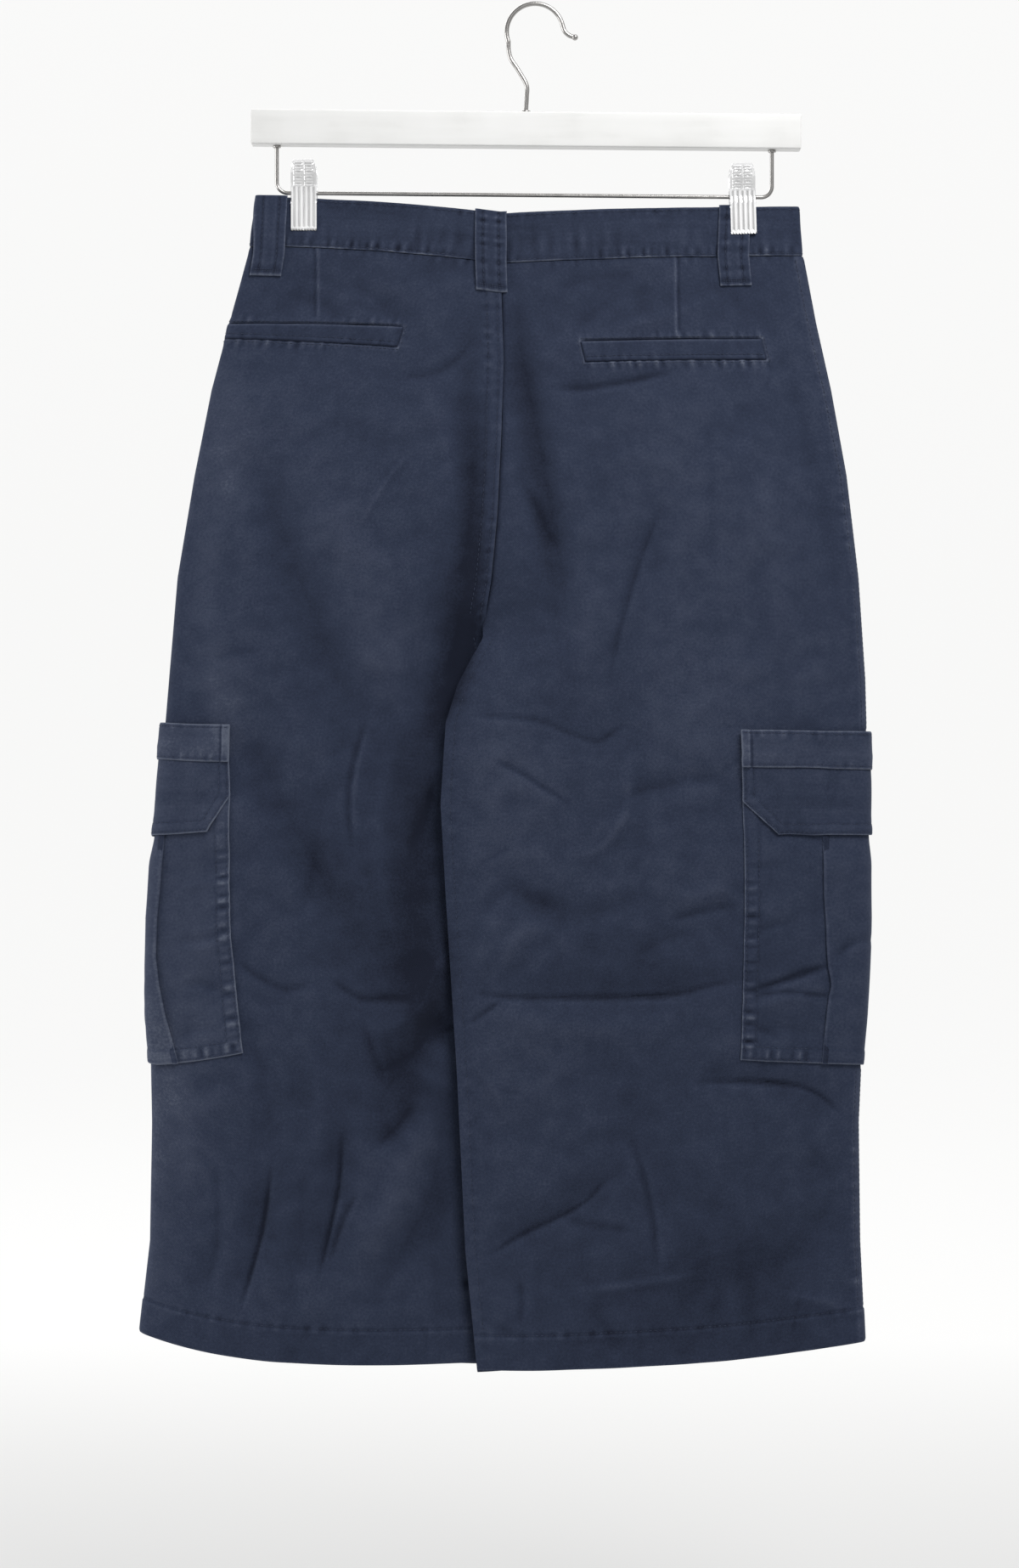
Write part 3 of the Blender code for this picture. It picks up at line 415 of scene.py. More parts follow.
sideSeam = {                  # how far the side seam lies past the outer fold
    "drop": [0, 60, 308, 375, 521, 700],
    "left": [30, 31, 33, 30, 20, 18],
    "right": [0, 0, 0, 0, 0, 0],
}
leg = {
    "waistBelow": {"left": 155.8, "right": 161.9},
    "centreBelow": 167.9,
    "crotchDrop": 230.0,
    "crotchBelow": 400.0,
    "hemDrop": 700.0,
    "hemInnerBelow": {"left": 876.0, "right": 879.5},
    "seatCurve": 100.0,
    "frontWaistSink": 5.0,
    "frontHemSink": 3.0,
    "innerEdgeHalf": 1.5,
    "outerRise": 90.0,
    "innerRise": 100.0,
    "leanReach": 110.0,
    "hipBlend": 140.0,
    "hemFall": {"left": 4.4, "right": 2.1},
    "waistFall": 1.8,
    "foldFade": 30.0,
    "bandHeight": 32.0,
    "gap": 0.3,
    "rowStep": 1.5,
    "ringSteps": 340,
    "backColumns": 210,
    "frontColumns": 160,
    "sharpBend": 0.55,
    # how much painted shade and light follows the folds' lift
    "foldShadeTone": 0.030,
    "crotchReach": 22.0,       # the depths are evened out this far above and below the crotch
    "crotchRounds": 60,
}

# creases: half width, lift outwards, how sharp, how much its +x side stands up, and the route as
# pairs of x,below; each dies away towards its ends
creases = {
    "back": [
        (13, -4.6, 0.25, 1.5, [-13,188, -7,235, 0,270, 8,312, 17,366, 22,410]),
        (12, -1.2, 0, 0, [0,248, 57,244, 98,235]),
        (15, -2.2, 0.2, -0.6, [86,308, 63,376, 50,425, 42,474]),
        (13, -2, 0, 0, [-18,456, 43,474, 80,470]),
        (12, -2.7, 0.2, 0, [-50,632, 20,636, 84,635, 142,625]),
        (13, 1.6, 0, 0, [-34,653, 20,655, 76,662]),
        (11, -2.4, 0.3, 0, [88,692, 125,690, 165,698, 212,726]),
        (12, -3.2, 0.35, 0, [-32,804, 10,780, 60,748]),
        (20, -4.4, 0, 0, [84,806, 137,813, 179,793, 204,762]),
        (15, -6, 0.15, 0, [-36,240, -41,312, -45,360, -56,400, -80,500]),
        (16, -4.2, 0.15, 1.2, [-190,272, -181.6,291, -150,374, -115,463, -106,480]),
        (22, 3, 0, 0, [-150,284, -110,390, -88,460]),
        (16, -4.6, 0.15, 1.2, [-196,442, -176,487, -160,520, -138,561, -118,602]),
        (15, -3.4, 0, 0, [-62,480, -74,545, -70,606]),
        (11, 3.8, 0.35, 0, [-56,596, -66,628, -76,648, -104,664]),
        (13, -6.2, 0.2, 0, [-56,645, -72,668, -84,680, -108,692]),
        (12, -3.8, 0.3, 1, [-122,716, -126,760, -140,824]),
        (12, -3.6, 0.3, 1, [-169,742, -175,786, -190,846]),
        (15, 4.4, 0, 0, [-66,700, -84,760, -118,820]),
        (13, -4.8, 0.2, 0, [-56,694, -66,763, -84,800, -98,830]),
        # finer ones: seat and hips
        (3, -2, 0.8, 0, [6,247.5, 30,248, 57,244, 80,239, 92,235]),
        (6, -2, 0.3, 0.8, [-14,298, 2,326, 16,358]),
        (6.5, 1.6, 0.2, 0, [-72,236, -53,309, -54,345, -61,388]),
        (2.8, 0.9, 0.7, 0, [-80,290, -94,306, -113,338]),
        (4.2, -1.6, 0.5, 0.5, [83,322, 70,352, 55,401, 47,440]),
        (7, -1.2, 0.2, 0.4, [112,262, 114,320, 114,372]),
        (9, -1.5, 0.1, 0.9, [150,186, 172,255, 188,322, 199,402]),
        (9, 1.4, 0, 0, [-196,296, -188,330, -176,372]),
        (7, -1.5, 0.2, 0, [-128,178, -104,188, -78,212]),
        (7, -1.4, 0.2, 0, [-164,186, -140,192, -118,208]),
        (8, -1.6, 0.2, 0, [86,182, 48,192, 22,214]),
        (7, 1.4, 0.2, 0, [126,184, 88,200, 44,212]),
        (6, -1.2, 0.3, 0, [12,184, 40,176, 70,174]),
        (4.7, -1.2, 0.4, 0, [-36,214, -60,236, -92,242]),
        (3.7, -1.1, 0.4, 0.3, [-20,330, -30,352, -36,380]),
        # thigh and knee of the right leg
        (2.8, -1.2, 0.8, 0, [-54,458, -2,461, 18,468, 40,475, 56,466, 70,470]),
        (3.2, -1.6, 0.6, 0, [-30,486, -8,496, 4,504, 24,516]),
        (4.7, 1.2, 0.5, 0, [60,482, 58,520, 40,545, 14,548]),
        (6, -1.4, 0.3, 0, [46,520, 66,508, 96,500, 130,498]),
        (9, -2, 0.2, 0, [-44,604, -18,570, 20,584, 52,580, 78,560]),
        (8, 1.8, 0.2, 0, [-26,622, -6,596, 18,604, 30,628]),
        (8, -1.8, 0.2, 0, [58,616, 84,602, 114,596]),
        (2.6, -2.3, 0.8, 0, [-52,634.5, -16,639, 36,639.5, 84,638.5, 112,632, 134,628]),
        (2.8, -2.2, 0.7, 0, [-60,662, -40,654, -20,640]),
        (7, 1.2, 0.2, 0, [70,566, 100,574, 128,566]),
        (3.7, -1.2, 0.5, 0, [84,590, 108,584, 132,580]),
        (2.8, -2, 0.6, 0, [136,634, 158,629, 192,618]),
        (2.8, -1.9, 0.6, 0, [136,640, 160,636, 196,640]),
        (4.2, -1.5, 0.4, 0, [194,610, 204,606, 216,608]),
        (6, -1.2, 0.3, 0, [146,540, 164,534, 190,540]),
        # left thigh
        (3.3, -1.3, 0.6, 1.1, [-107,458, -116,490, -119,516, -116,548]),
        (4.7, -2.4, 0.4, 0, [-66,500, -72,524, -82,548]),
        (7, 1.8, 0.2, 0, [-90,470, -100,520, -98,570, -88,610]),
        (8, -2, 0.2, 0, [-132,486, -140,540, -152,600]),
        (3.7, -1.8, 0.5, 0, [-134,626, -112,640, -92,640, -74,642]),
        (4.7, -0.8, 0.4, 0.8, [-112,650, -104,672, -96,696]),
        (3.7, -1.5, 0.5, 0, [-194,614, -178,626, -160,634, -142,630]),
        (9, -1.9, 0.1, 0.6, [-190,640, -174,690, -168,740]),
        (8, 1.5, 0.2, 0, [-214,512, -196,560, -190,620]),
        (7, 1.2, 0.2, 0, [-150,660, -138,700, -140,750]),
        # lower legs and hems
        (2.4, -2.2, 0.8, 0.8, [-124,724, -126,760, -132,790, -139,820]),
        (3.2, -1.8, 0.6, 0.8, [-114,764, -124,786, -132,810]),
        (2.4, -2.2, 0.8, 0.8, [-169,746, -174,784, -181,812, -190,842]),
        (7, -2.5, 0.3, 0, [-76,706, -92,726, -108,738]),
        (4.7, -1.4, 0.3, 0, [-206,740, -204,790, -212,832]),
        (8, -1.5, 0.2, 0, [-150,740, -150,790, -158,840]),
        (2.4, -2.2, 0.8, 0, [96,695, 114,693.5, 145,694, 170,697, 186,705, 208,723]),
        (2.4, -1.9, 0.8, 0, [-34,807, -8,792, 18,779, 34,769, 46,755]),
        (4.7, -1.4, 0.4, 0, [16,780, 38,786, 64,789]),
        (3.7, -1.6, 0.4, 0.7, [62,728, 70,754, 76,782, 79,818]),
        (6, 1.6, 0.3, 0, [-58,682, -40,684, -26,700, -18,722]),
        (3.7, -1.8, 0.5, 0, [-36,712, -40,728, -40,750]),
        (3.7, -2.7, 0.3, 0, [-48,827, -40,824, -30,822]),
        (4.7, -2, 0.4, 0, [-42,826, -34,846, -10,858]),
        (3.7, -1.4, 0.4, 0.5, [-10,818, -8,836, -10,852]),
        (3.7, 1.4, 0.5, 0, [24,828, 60,824, 110,816]),
        (4.7, 1.5, 0.4, 0, [160,830, 188,836, 212,846]),
        (9, -1.8, 0.2, 0, [30,836, 44,850, 52,872]),
        (9, 1.9, 0.1, 0, [110,770, 126,830, 128,872]),
        (7, -1.4, 0.3, 0, [170,742, 190,752, 206,748]),
    ],
    "front": [
        (18, -4.2, 0.2, 1, [26,222, 52,330, 60,444]),
        (18, -4.6, 0.2, -1, [-60,232, -84,350, -88,486]),
        (14, -4, 0.25, 0, [-34,624, 70,640, 132,624]),
        (15, 4.6, 0.1, 0, [-58,634, -120,655, -172,636]),
        (14, -4, 0.3, 0.8, [-92,676, -106,745, -115,814]),
        (22, 2.8, 0, 0, [98,682, 92,770, 86,868]),
        (20, 2.6, 0, 0, [-162,286, -150,436]),
        (14, -2.6, 0.2, 0, [134,286, 112,390, 106,486]),
        # finer ones
        (3.7, -1.1, 0.6, 0, [22,356, 46,338, 82,330]),
        (3.7, -1, 0.6, 0, [-10,362, -42,340, -76,336]),
        (4.7, -1, 0.5, 0, [-6,380, -34,366, -64,372]),
        (4.7, -0.9, 0.5, 0, [0,384, 34,372, 60,380]),
        (2.8, -1.5, 0.8, 0, [-44,630, 10,641, 80,643, 128,628]),
        (2.8, -1.4, 0.8, 0, [-36,640, -90,648, -150,644]),
        (6, -1.6, 0.3, 0.8, [88,560, 92,600, 86,628]),
        (3.7, -1.8, 0.5, 0.8, [-60,716, -70,760, -72,820]),
        (3.7, -1.6, 0.5, 0.8, [40,724, 46,774, 42,830]),
        (6, 1.5, 0.3, 0, [-140,736, -120,772, -96,792]),
        (4.7, -1.6, 0.4, 0, [120,742, 140,772, 146,816]),
        (7, -1.8, 0.2, 0, [-120,470, -128,530, -120,590]),
        (7, -1.8, 0.2, 0, [20,470, 34,530, 30,590]),
    ],
}
# painted shadows and painted light: soft darker places where shade falls and paler ones where light falls;
# half width, tone and route as pairs of x,below
paintedShades = {
    "back": [
        (22, -0.26, [-68,462, -76,520, -78,580, -80,664]), (28, -0.07, [-120,530, -118,630]),
        (15, -0.22, [-74,684, -84,714, -100,738]), (10, -0.12, [-58,736, -62,800, -60,868]),
        (9, -0.18, [-42,164, -42,260, -39,340, -42,400, -56,444, -80,500]),
        (10, -0.13, [-12,150, -8,240, 2,300, 10,360, 16,420]),
        (60, 0.07, [90,210, 110,300, 110,400, 100,540]), (34, 0.06, [-28,450, -20,580]),
        (42, -0.08, [20,810, 90,838, 214,820]), (14, -0.07, [40,614, 120,620, 196,628]),
        (9, -0.07, [-24,652, 20,650, 66,654]), (20, 0.17, [-246,620, -248,720, -254,880]),
        (17, 0.14, [-194,216, -204,280, -214,350]), (16, 0.15, [-214,410, -200,452, -190,490]),
        (24, -0.16, [-72,566, -76,640, -80,722]), (26, -0.08, [-112,540, -118,700, -124,760]),
        (8, -0.19, [-38,316, -41,400, -56,442, -80,500]), (15, -0.08, [126,258, 132,350]),
        (9, -0.09, [34,202, 80,194, 140,188, 170,200]), (30, -0.04, [60,820, 190,850]),
        (9, -0.1, [-24,568, 0,578, 28,600]), (14, -0.15, [-64,592, -70,664]),
        (16, 0.12, [-228,664, -226,720]), (11, 0.11, [-212,334, -214,410]), (12, 0.1, [-198,436, -188,500]),
        (20, 0.06, [-150,546, -152,630]), (14, -0.09, [-100,466, -94,516]),
        (6, -0.13, [-42,376, -46,430, -66,470]), (20, 0.05, [62,306, 50,372]), (18, 0.05, [34,430, 48,478]),
        (16, -0.08, [-80,698, -106,728]), (60, -0.05, [-10,760, 60,830, 180,850]),
        (13, -0.09, [-156,164, -96,164, -30,172]), (46, -0.06, [0,724, 100,740, 190,764]),
        (40, -0.05, [-20,640, 60,628, 170,650]), (13, -0.15, [-64,606, -70,648, -92,664]),
        (15, 0.09, [-190,280, -187,330]), (10, 0.07, [-66,380, -67,440]), (9, 0.07, [-60,500, -62,540]),
        (20, 0.05, [180,400, 186,460]), (20, -0.06, [-24,840, 16,852]), (30, -0.05, [-160,650, -170,840]),
        (8, -0.1, [-43,378, -49,436, -70,474]), (8, -0.08, [14,396, 14,432]),
        (24, 0.08, [-224,692, -226,770]), (20, 0.04, [-182,240, -180,320, -166,440]),
        (14, -0.05, [-138,520, -124,592]), (6, -0.16, [-46,376, -49,410, -58,440]),
    ],
    "front": [
        (20, -0.16, [-44,420, -50,560, -50,700, -52,860]), (12, -0.1, [-30,240, -36,330, -46,400]),
    ],
}
ripple = {"waves": 26, "shortest": 20.0, "longest": 120.0, "lift": 0.42, "seed": 7}
dents = {"count": 150, "across": (-235.0, 205.0), "below": (175.0, 870.0), "length": (12.0, 44.0),
         "halfWidth": (2.0, 5.5), "lift": 0.55, "level": 0.45, "seed": 23}


def curveThrough(points, steps):
    # a smooth curve through the points, and its length so far at each step
    points = [np.array(point) for point in points]
    points = [2 * points[0] - points[1]] + points + [2 * points[-1] - points[-2]]
    route = []
    for a, b, c, d in zip(points, points[1:], points[2:], points[3:]):
        for step in range(steps):
            t = step / steps
            route.append(0.5 * (2 * b + (c - a) * t + (2 * a - 5 * b + 4 * c - d) * t ** 2
                                + (3 * b - a - 3 * c + d) * t ** 3))
    route = np.array(route + [points[-2]])
    return route, arcLength(route)


def addCrease(lift, x, below, crease):
    halfWidth, height, sharp, lean, points = crease
    route, along = curveThrough(np.reshape(points, (-1, 2)), 4)
    reach = 3.2 * halfWidth
    near = ((x > route[:, 0].min() - reach) & (x < route[:, 0].max() + reach)
            & (below > route[:, 1].min() - reach) & (below < route[:, 1].max() + reach))
    if not near.any():
        return
    px, pb = x[near], below[near]
    best = np.full(px.shape, 1e9)
    place = np.zeros(px.shape)
    for (x0, b0), (x1, b1), s0, s1 in zip(route, route[1:], along, along[1:]):
        runX, runB = x1 - x0, b1 - b0
        t = unit(((px - x0) * runX + (pb - b0) * runB) / (runX ** 2 + runB ** 2))
        offX, offB = px - x0 - t * runX, pb - b0 - t * runB
        sign = np.where(offX * runB - offB * runX > 0, 1.0, -1.0) * (1.0 if runB >= 0 else -1.0)
        away = np.hypot(offX, offB)
        closer = away < np.abs(best)
        best = np.where(closer, away * sign, best)
        place = np.where(closer, mix(s0, s1, t), place)
    across = best / halfWidth
    body = np.exp(-across ** 2)
    edge = np.exp(-np.abs(across) * 1.7)
    taper = smooth(np.minimum(place, along[-1] - place) / (0.32 * along[-1]) + 0.12)
    lift[near] += (height * mix(body, edge, sharp) + lean * 1.6 * across * body) * taper


def creaseLift(face, x, below):
    lift = np.zeros_like(x)
    for crease in creases[face]:
        addCrease(lift, x, below, crease)
    chance = np.random.default_rng(ripple["seed"] + (face == "front"))
    for _ in range(ripple["waves"]):
        length = math.exp(chance.uniform(math.log(ripple["shortest"]), math.log(ripple["longest"])))
        angle = chance.uniform(0.0, math.pi)
        phase = chance.uniform(0.0, 2 * math.pi)
        height = ripple["lift"] * (length / ripple["longest"]) ** 0.8 * chance.uniform(0.4, 1.0)
        wave = (x * math.cos(angle) + below * math.sin(angle)) * 2 * math.pi / length
        bend = 1.3 * np.sin(x * math.sin(angle) / length * 2.1 - below * math.cos(angle) / length * 1.7)
        lift += height * np.sin(wave + bend + phase)
    chance = np.random.default_rng(dents["seed"] + (face == "front"))
    for _ in range(dents["count"]):
        x0, b0 = chance.uniform(*dents["across"]), chance.uniform(*dents["below"])
        length = chance.uniform(*dents["length"])
        angle = chance.normal(0.0 if chance.random() < dents["level"] else math.pi / 2, 0.5)
        bow = chance.normal(0.0, 0.18) * length
        half = np.array((math.cos(angle), math.sin(angle))) * length / 2
        middle = (x0 - half[1] / length * bow, b0 + half[0] / length * bow)
        height = dents["lift"] * chance.uniform(-1.0, 0.55)
        addCrease(lift, x, below, (chance.uniform(*dents["halfWidth"]), height, 0.4, 0.0,
                                   [(x0 - half[0], b0 - half[1]), middle, (x0 + half[0], b0 + half[1])]))
    return lift


def faceRows(side, drops, face):
    # one face of every row at once, from its inner edge to its outer fold
    drop = drops[:, None]
    toHem = (drop - leg["crotchDrop"]) / (leg["hemDrop"] - leg["crotchDrop"])
    outer = leg["waistBelow"][side] + drop
    seat = leg["centreBelow"] + drop * (leg["crotchBelow"] - leg["centreBelow"]) / leg["crotchDrop"]
    inner = np.where(toHem < 0.0, seat, mix(leg["crotchBelow"], leg["hemInnerBelow"][side], toHem))
    outerX = read(outline, outer, side)
    innerX = read(innerEdge, drop, side + face.capitalize())
    width = np.abs(outerX - innerX)
    toOuter = np.sin(np.linspace(0.0, math.pi / 2, leg["ringSteps"] + 1))[None, :]
    toOuter[0, -1] = 1.0
    toInner = 1.0 - toOuter
    x = mix(innerX, outerX, toOuter)
    fromInner = toOuter * width
    fromOuter = toInner * width
    waistSag = toInner ** leg["waistFall"]
    hemSag = 1.0 - toOuter ** leg["hemFall"][side]
    below = outer + (inner - outer) * mix(waistSag, hemSag, np.maximum(drop, 0.0) / leg["hemDrop"])
    if face == "front":
        sink = leg["frontWaistSink"] * (1.0 - smooth(drop / leg["crotchDrop"]))
        below = below + (sink + leg["frontHemSink"] * smooth(toHem)) * toInner

    fold = read(halfDepth, drop, "fold")
    full = mix(read(waistDepth, x, "half"), read(halfDepth, drop, side), smooth(drop / leg["hipBlend"]))
    cap = fold * np.sqrt(1.0 - (1.0 - unit(fromOuter / fold)) ** 2)
    half = cap + (full - fold) * swell(fromOuter / leg["outerRise"])
    turned = unit((drop - leg["crotchDrop"] + leg["seatCurve"]) / leg["seatCurve"])
    openness = np.sqrt(1.0 - turned ** 2)
    closed = leg["innerEdgeHalf"] + (half - leg["innerEdgeHalf"]) * swell(fromInner / leg["innerRise"])
    half = mix(half, mix(closed, half, openness), smooth(fromOuter / (2 * fold)))

    lean = read(innerEdge, drop, "lean") * (1.0 - smooth(fromInner / leg["leanReach"]))
    middle = lean if side == "left" else -lean
    fade = smooth(fromOuter / leg["foldFade"]) * mix(1.0, smooth(fromInner / leg["foldFade"]), turned)
    lift = creaseLift(face, x, below) * fade
    outward = -1.0 if face == "back" else 1.0
    return np.stack((x, middle + outward * (half + lift), -below), axis=2), lift


def makeSkin(side):
    # a fine lattice of points, outward normals and distances from the side seam, back to front
    drops = np.arange(-leg["bandHeight"] - 2 * leg["rowStep"], leg["hemDrop"] + leg["rowStep"] + 0.1,
                      leg["rowStep"])
    back, backLift = faceRows(side, drops, "back")
    front, frontLift = faceRows(side, drops, "front")
    ring = np.concatenate((back, front[:, -2::-1]), axis=1)
    lift = np.concatenate((backLift, frontLift[:, -2::-1]), axis=1)
    steps = np.linalg.norm(np.diff(ring, axis=1), axis=2)
    arc = np.concatenate((np.zeros((len(drops), 1)), np.cumsum(steps, axis=1)), axis=1)
    seam = arc[:, leg["ringSteps"]] + read(sideSeam, drops, side)
    shares = np.concatenate((np.linspace(-1.0, 0.0, leg["backColumns"] + 1),
                             np.linspace(0.0, 1.0, leg["frontColumns"] + 1)[1:]))
    points = np.zeros((len(drops), len(shares), 3))
    relief = np.zeros((len(drops), len(shares)))
    for row in range(len(drops)):
        reach = np.where(shares < 0.0, seam[row], arc[row, -1] - seam[row])
        places = seam[row] + shares * reach
        for axis in range(3):
            points[row, :, axis] = np.interp(places, arc[row], ring[row, :, axis])
        relief[row] = np.interp(places, arc[row], lift[row])
    # the legs part softly at the crotch
    near = np.exp(-((drops[1:-1, None] - leg["crotchDrop"]) / leg["crotchReach"]) ** 4)
    for _ in range(leg["crotchRounds"]):
        depth = points[:, :, 1]
        points[1:-1, :, 1] = mix(depth[1:-1], (depth[:-2] + 2 * depth[1:-1] + depth[2:]) / 4, near)
    # painted shade and light: hollows darker and ridges paler, more so where sharp; the sharp ridges are also
    # worn paler
    bend = np.gradient(np.gradient(relief, axis=0), axis=0) + np.gradient(np.gradient(relief, axis=1), axis=1)
    bend = np.clip(bend / leg["sharpBend"], -1.0, 1.0)
    foldShade = leg["foldShadeTone"] * np.clip(relief, -7.0, 4.0) - np.where(bend > 0.0, 0.24, 0.16) * bend
    # the painted shadows and painted light from the list, faded out at the side seam
    for face, half in (("back", shares < 0.0), ("front", shares > 0.0)):
        shade = np.zeros((len(drops), half.sum()))
        for halfWidth, tone, route in paintedShades[face]:
            addCrease(shade, points[:, half, 0], -points[:, half, 2], (halfWidth, tone, 0.0, 0.0, route))
        foldShade[:, half] += shade * smooth(np.abs(shares[half]) * 20.0)
    normals = np.cross(np.gradient(points, axis=0), np.gradient(points, axis=1))
    normals /= np.linalg.norm(normals, axis=2, keepdims=True)
    return {
        "side": side,
        "drops": drops,
        "points": points,
        "normals": normals if side == "right" else -normals,
        "foldShade": foldShade[:, :, None],
        "back": seam,
        "front": arc[:, -1] - seam,
    }


def edgeAt(skin, drop, face):
    # how far the back or front edge lies from the side seam
    return np.interp(drop, skin["drops"], skin[face])


pocketTurn = {                # how the sewn pocket lies on the leg: its rear half's width, and how far
    "drop": [308, 332, 354, 375, 413, 453, 521],      # each height sits below its own row
    "leftHalf": [80.8, 81, 83.2, 83.6, 84.2, 85, 87.5],
    "rightHalf": [87.3, 87.3, 87, 86, 85.4, 85, 84.4],
    "leftRear": [-4, -4.2, -4.6, -5, -7, -9, -12],
    "rightRear": [-4.7, -5.5, -5.5, -5.5, -6.6, -7.8, -9.9],
    "leftFold": [0, -0.5, 3, 6, 5.6, 5.3, 5],
    "rightFold": [-1, -0.3, -0.8, -1.3, -0.8, -0.3, 0.5],
    "foldAt": {"left": 27.0, "right": 0.0},
}


def onPocket(side, drop, distance):
    # from a place on the flat pocket to its drop and distance on the leg
    look = pocketTurn
    def table(name):
        return np.interp(drop, look["drop"], look[side + name])
    share = unit((-distance - look["foldAt"][side]) / (pocket["half"] - look["foldAt"][side]))
    wider = np.where(distance < 0.0, table("Half") / pocket["half"], 1.0)
    return drop + mix(table("Fold"), table("Rear"), share), distance * wider


def skinAt(skin, drop, distance):
    # points, normals and the painted fold shade at any drops and signed distances from the side seam
    drop, distance = np.broadcast_arrays(np.asarray(drop, float), np.asarray(distance, float))
    if skin.get("turned"):
        drop, distance = onPocket(skin["side"], drop, distance)
    row = (drop - skin["drops"][0]) / leg["rowStep"]
    onBack = distance < 0.0
    share = np.where(onBack, 1.0 + distance / edgeAt(skin, drop, "back"),
                     distance / edgeAt(skin, drop, "front"))
    share = unit(share)
    column = np.where(onBack, share * leg["backColumns"],
                      leg["backColumns"] + share * leg["frontColumns"])
    rows, columns = skin["points"].shape[:2]
    r = np.clip(row.astype(int), 0, rows - 2)
    c = np.clip(column.astype(int), 0, columns - 2)
    fr = unit(row - r)[..., None]
    fc = unit(column - c)[..., None]
    found = []
    for name in ("points", "normals", "foldShade"):
        grid = skin[name]
        top = mix(grid[r, c], grid[r, c + 1], fc)
        low = mix(grid[r + 1, c], grid[r + 1, c + 1], fc)
        found.append(mix(top, low, fr))
    points, normals, foldShade = found
    return points, normals / np.linalg.norm(normals, axis=-1, keepdims=True), foldShade[..., 0]


# cloth pieces: each is a grid laid on the skin, moved out by its own lift and given a wall

def rowsAt(*stretches):
    # rows or columns over neighbouring stretches, each (start, end, step)
    parts = []
    for start, end, step in stretches:
        count = max(1, int(round(abs(end - start) / step)))
        parts.append(np.linspace(start, end, count + 1)[:-1])
    return np.concatenate(parts + [[stretches[-1][1]]])


def bell(distance, reach):
    return np.exp(-(distance / reach) ** 2)


def pucker(along, away, pitch, reach, height, seed):
    # the ripples that a shrunk seam draws in the cloth beside its stitching
    place = along + 2.4 * np.sin(along / 27.0 + seed) + 1.4 * np.sin(along / 9.0 + 2.3 * seed)
    swing = 0.55 + 0.30 * np.sin(along / 37.0 + 1.7 * seed) + 0.25 * np.sin(along / 13.3 + 4.1 * seed)
    wave = 0.8 * np.sin(2 * math.pi * place / pitch + seed) + 0.55 * np.sin(3.9 * place / pitch + 2.9 * seed)
    return height * swing * (wave + 0.35 * wave * np.abs(wave)) * bell(away, reach)


def spaced(start, end, step, fine=(0.35, 0.8, 1.35, 2.0)):
    # stations from start to end, close together at both ends
    sign = 1.0 if end > start else -1.0
    fine = [part for part in fine if part < 0.35 * abs(end - start)]
    inner = rowsAt((start + sign * fine[-1], end - sign * fine[-1], step))
    return np.concatenate(([start], start + sign * np.array(fine[:-1]), inner,
                           end - sign * np.array(fine[:-1])[::-1], [end]))


def gridObject(name, points, mirrored):
    # a grid whose rows and columns take the places of the points, in millimetres
    rows, columns = points.shape[:2]
    bpy.ops.object.select_all(action="DESELECT")
    bpy.ops.mesh.primitive_grid_add(x_subdivisions=columns - 1, y_subdivisions=rows - 1, size=1.0)
    piece = bpy.context.object
    piece.name = name
    mesh = piece.data
    mesh.name = name
    flat = np.empty(len(mesh.vertices) * 3)
    mesh.vertices.foreach_get("co", flat)
    flat = flat.reshape(-1, 3)
    column = np.rint((flat[:, 0] + 0.5) * (columns - 1)).astype(int)
    row = np.rint((0.5 - flat[:, 1]) * (rows - 1)).astype(int)
    if mirrored:
        column = columns - 1 - column
    mesh.vertices.foreach_set("co", (points[row, column] * mm).ravel())
    mesh.update()
    return piece, row, column


def giveTone(piece, values):
    piece.data.attributes.new("tone", "FLOAT", "POINT").data.foreach_set("value", values)


def layCloth(piece, row, column, alongDown, tone):
    mesh = piece.data
    giveTone(piece, tone[row, column])
    mesh.uv_layers[0].name = "cloth"
    corner = np.empty(len(mesh.loops), dtype=np.int32)
    mesh.loops.foreach_get("vertex_index", corner)
    mesh.uv_layers["cloth"].data.foreach_set("uv", (alongDown[row, column] * mm)[corner].ravel())


def innerFace(points, normals, wall, rowPick, columnPick):
    # fewer points on the inner side, deep enough to stay under every crease between them
    def spread(values, pick, count):
        place = np.interp(np.arange(count), pick, np.arange(len(pick)))
        low = np.minimum(place.astype(int), len(pick) - 2)
        return mix(values[low], values[low + 1], (place - low)[:, None, None])

    coarse = points[np.ix_(rowPick, columnPick)]
    plain = spread(spread(coarse, rowPick, len(points)).swapaxes(0, 1), columnPick, points.shape[1])
    sunk = ((plain.swapaxes(0, 1) - points) * normals).sum(axis=2)
    deep = np.zeros(coarse.shape[:2])
    for i in range(len(rowPick)):
        top, low = rowPick[max(i - 1, 0)], rowPick[min(i + 1, len(rowPick) - 1)]
        for j in range(len(columnPick)):
            first, last = columnPick[max(j - 1, 0)], columnPick[min(j + 1, len(columnPick) - 1)]
            deep[i, j] = sunk[top:low + 1, first:last + 1].max()
    deep = np.clip(deep, 0.0, 2.0)
    return coarse - normals[np.ix_(rowPick, columnPick)] * (wall + deep)[..., None]


def nodeOf(name):
    # the solid that a piece takes the place of: hangerBar stands for hanger_bar
    return "".join("_" + letter.lower() if letter.isupper() else letter for letter in name)


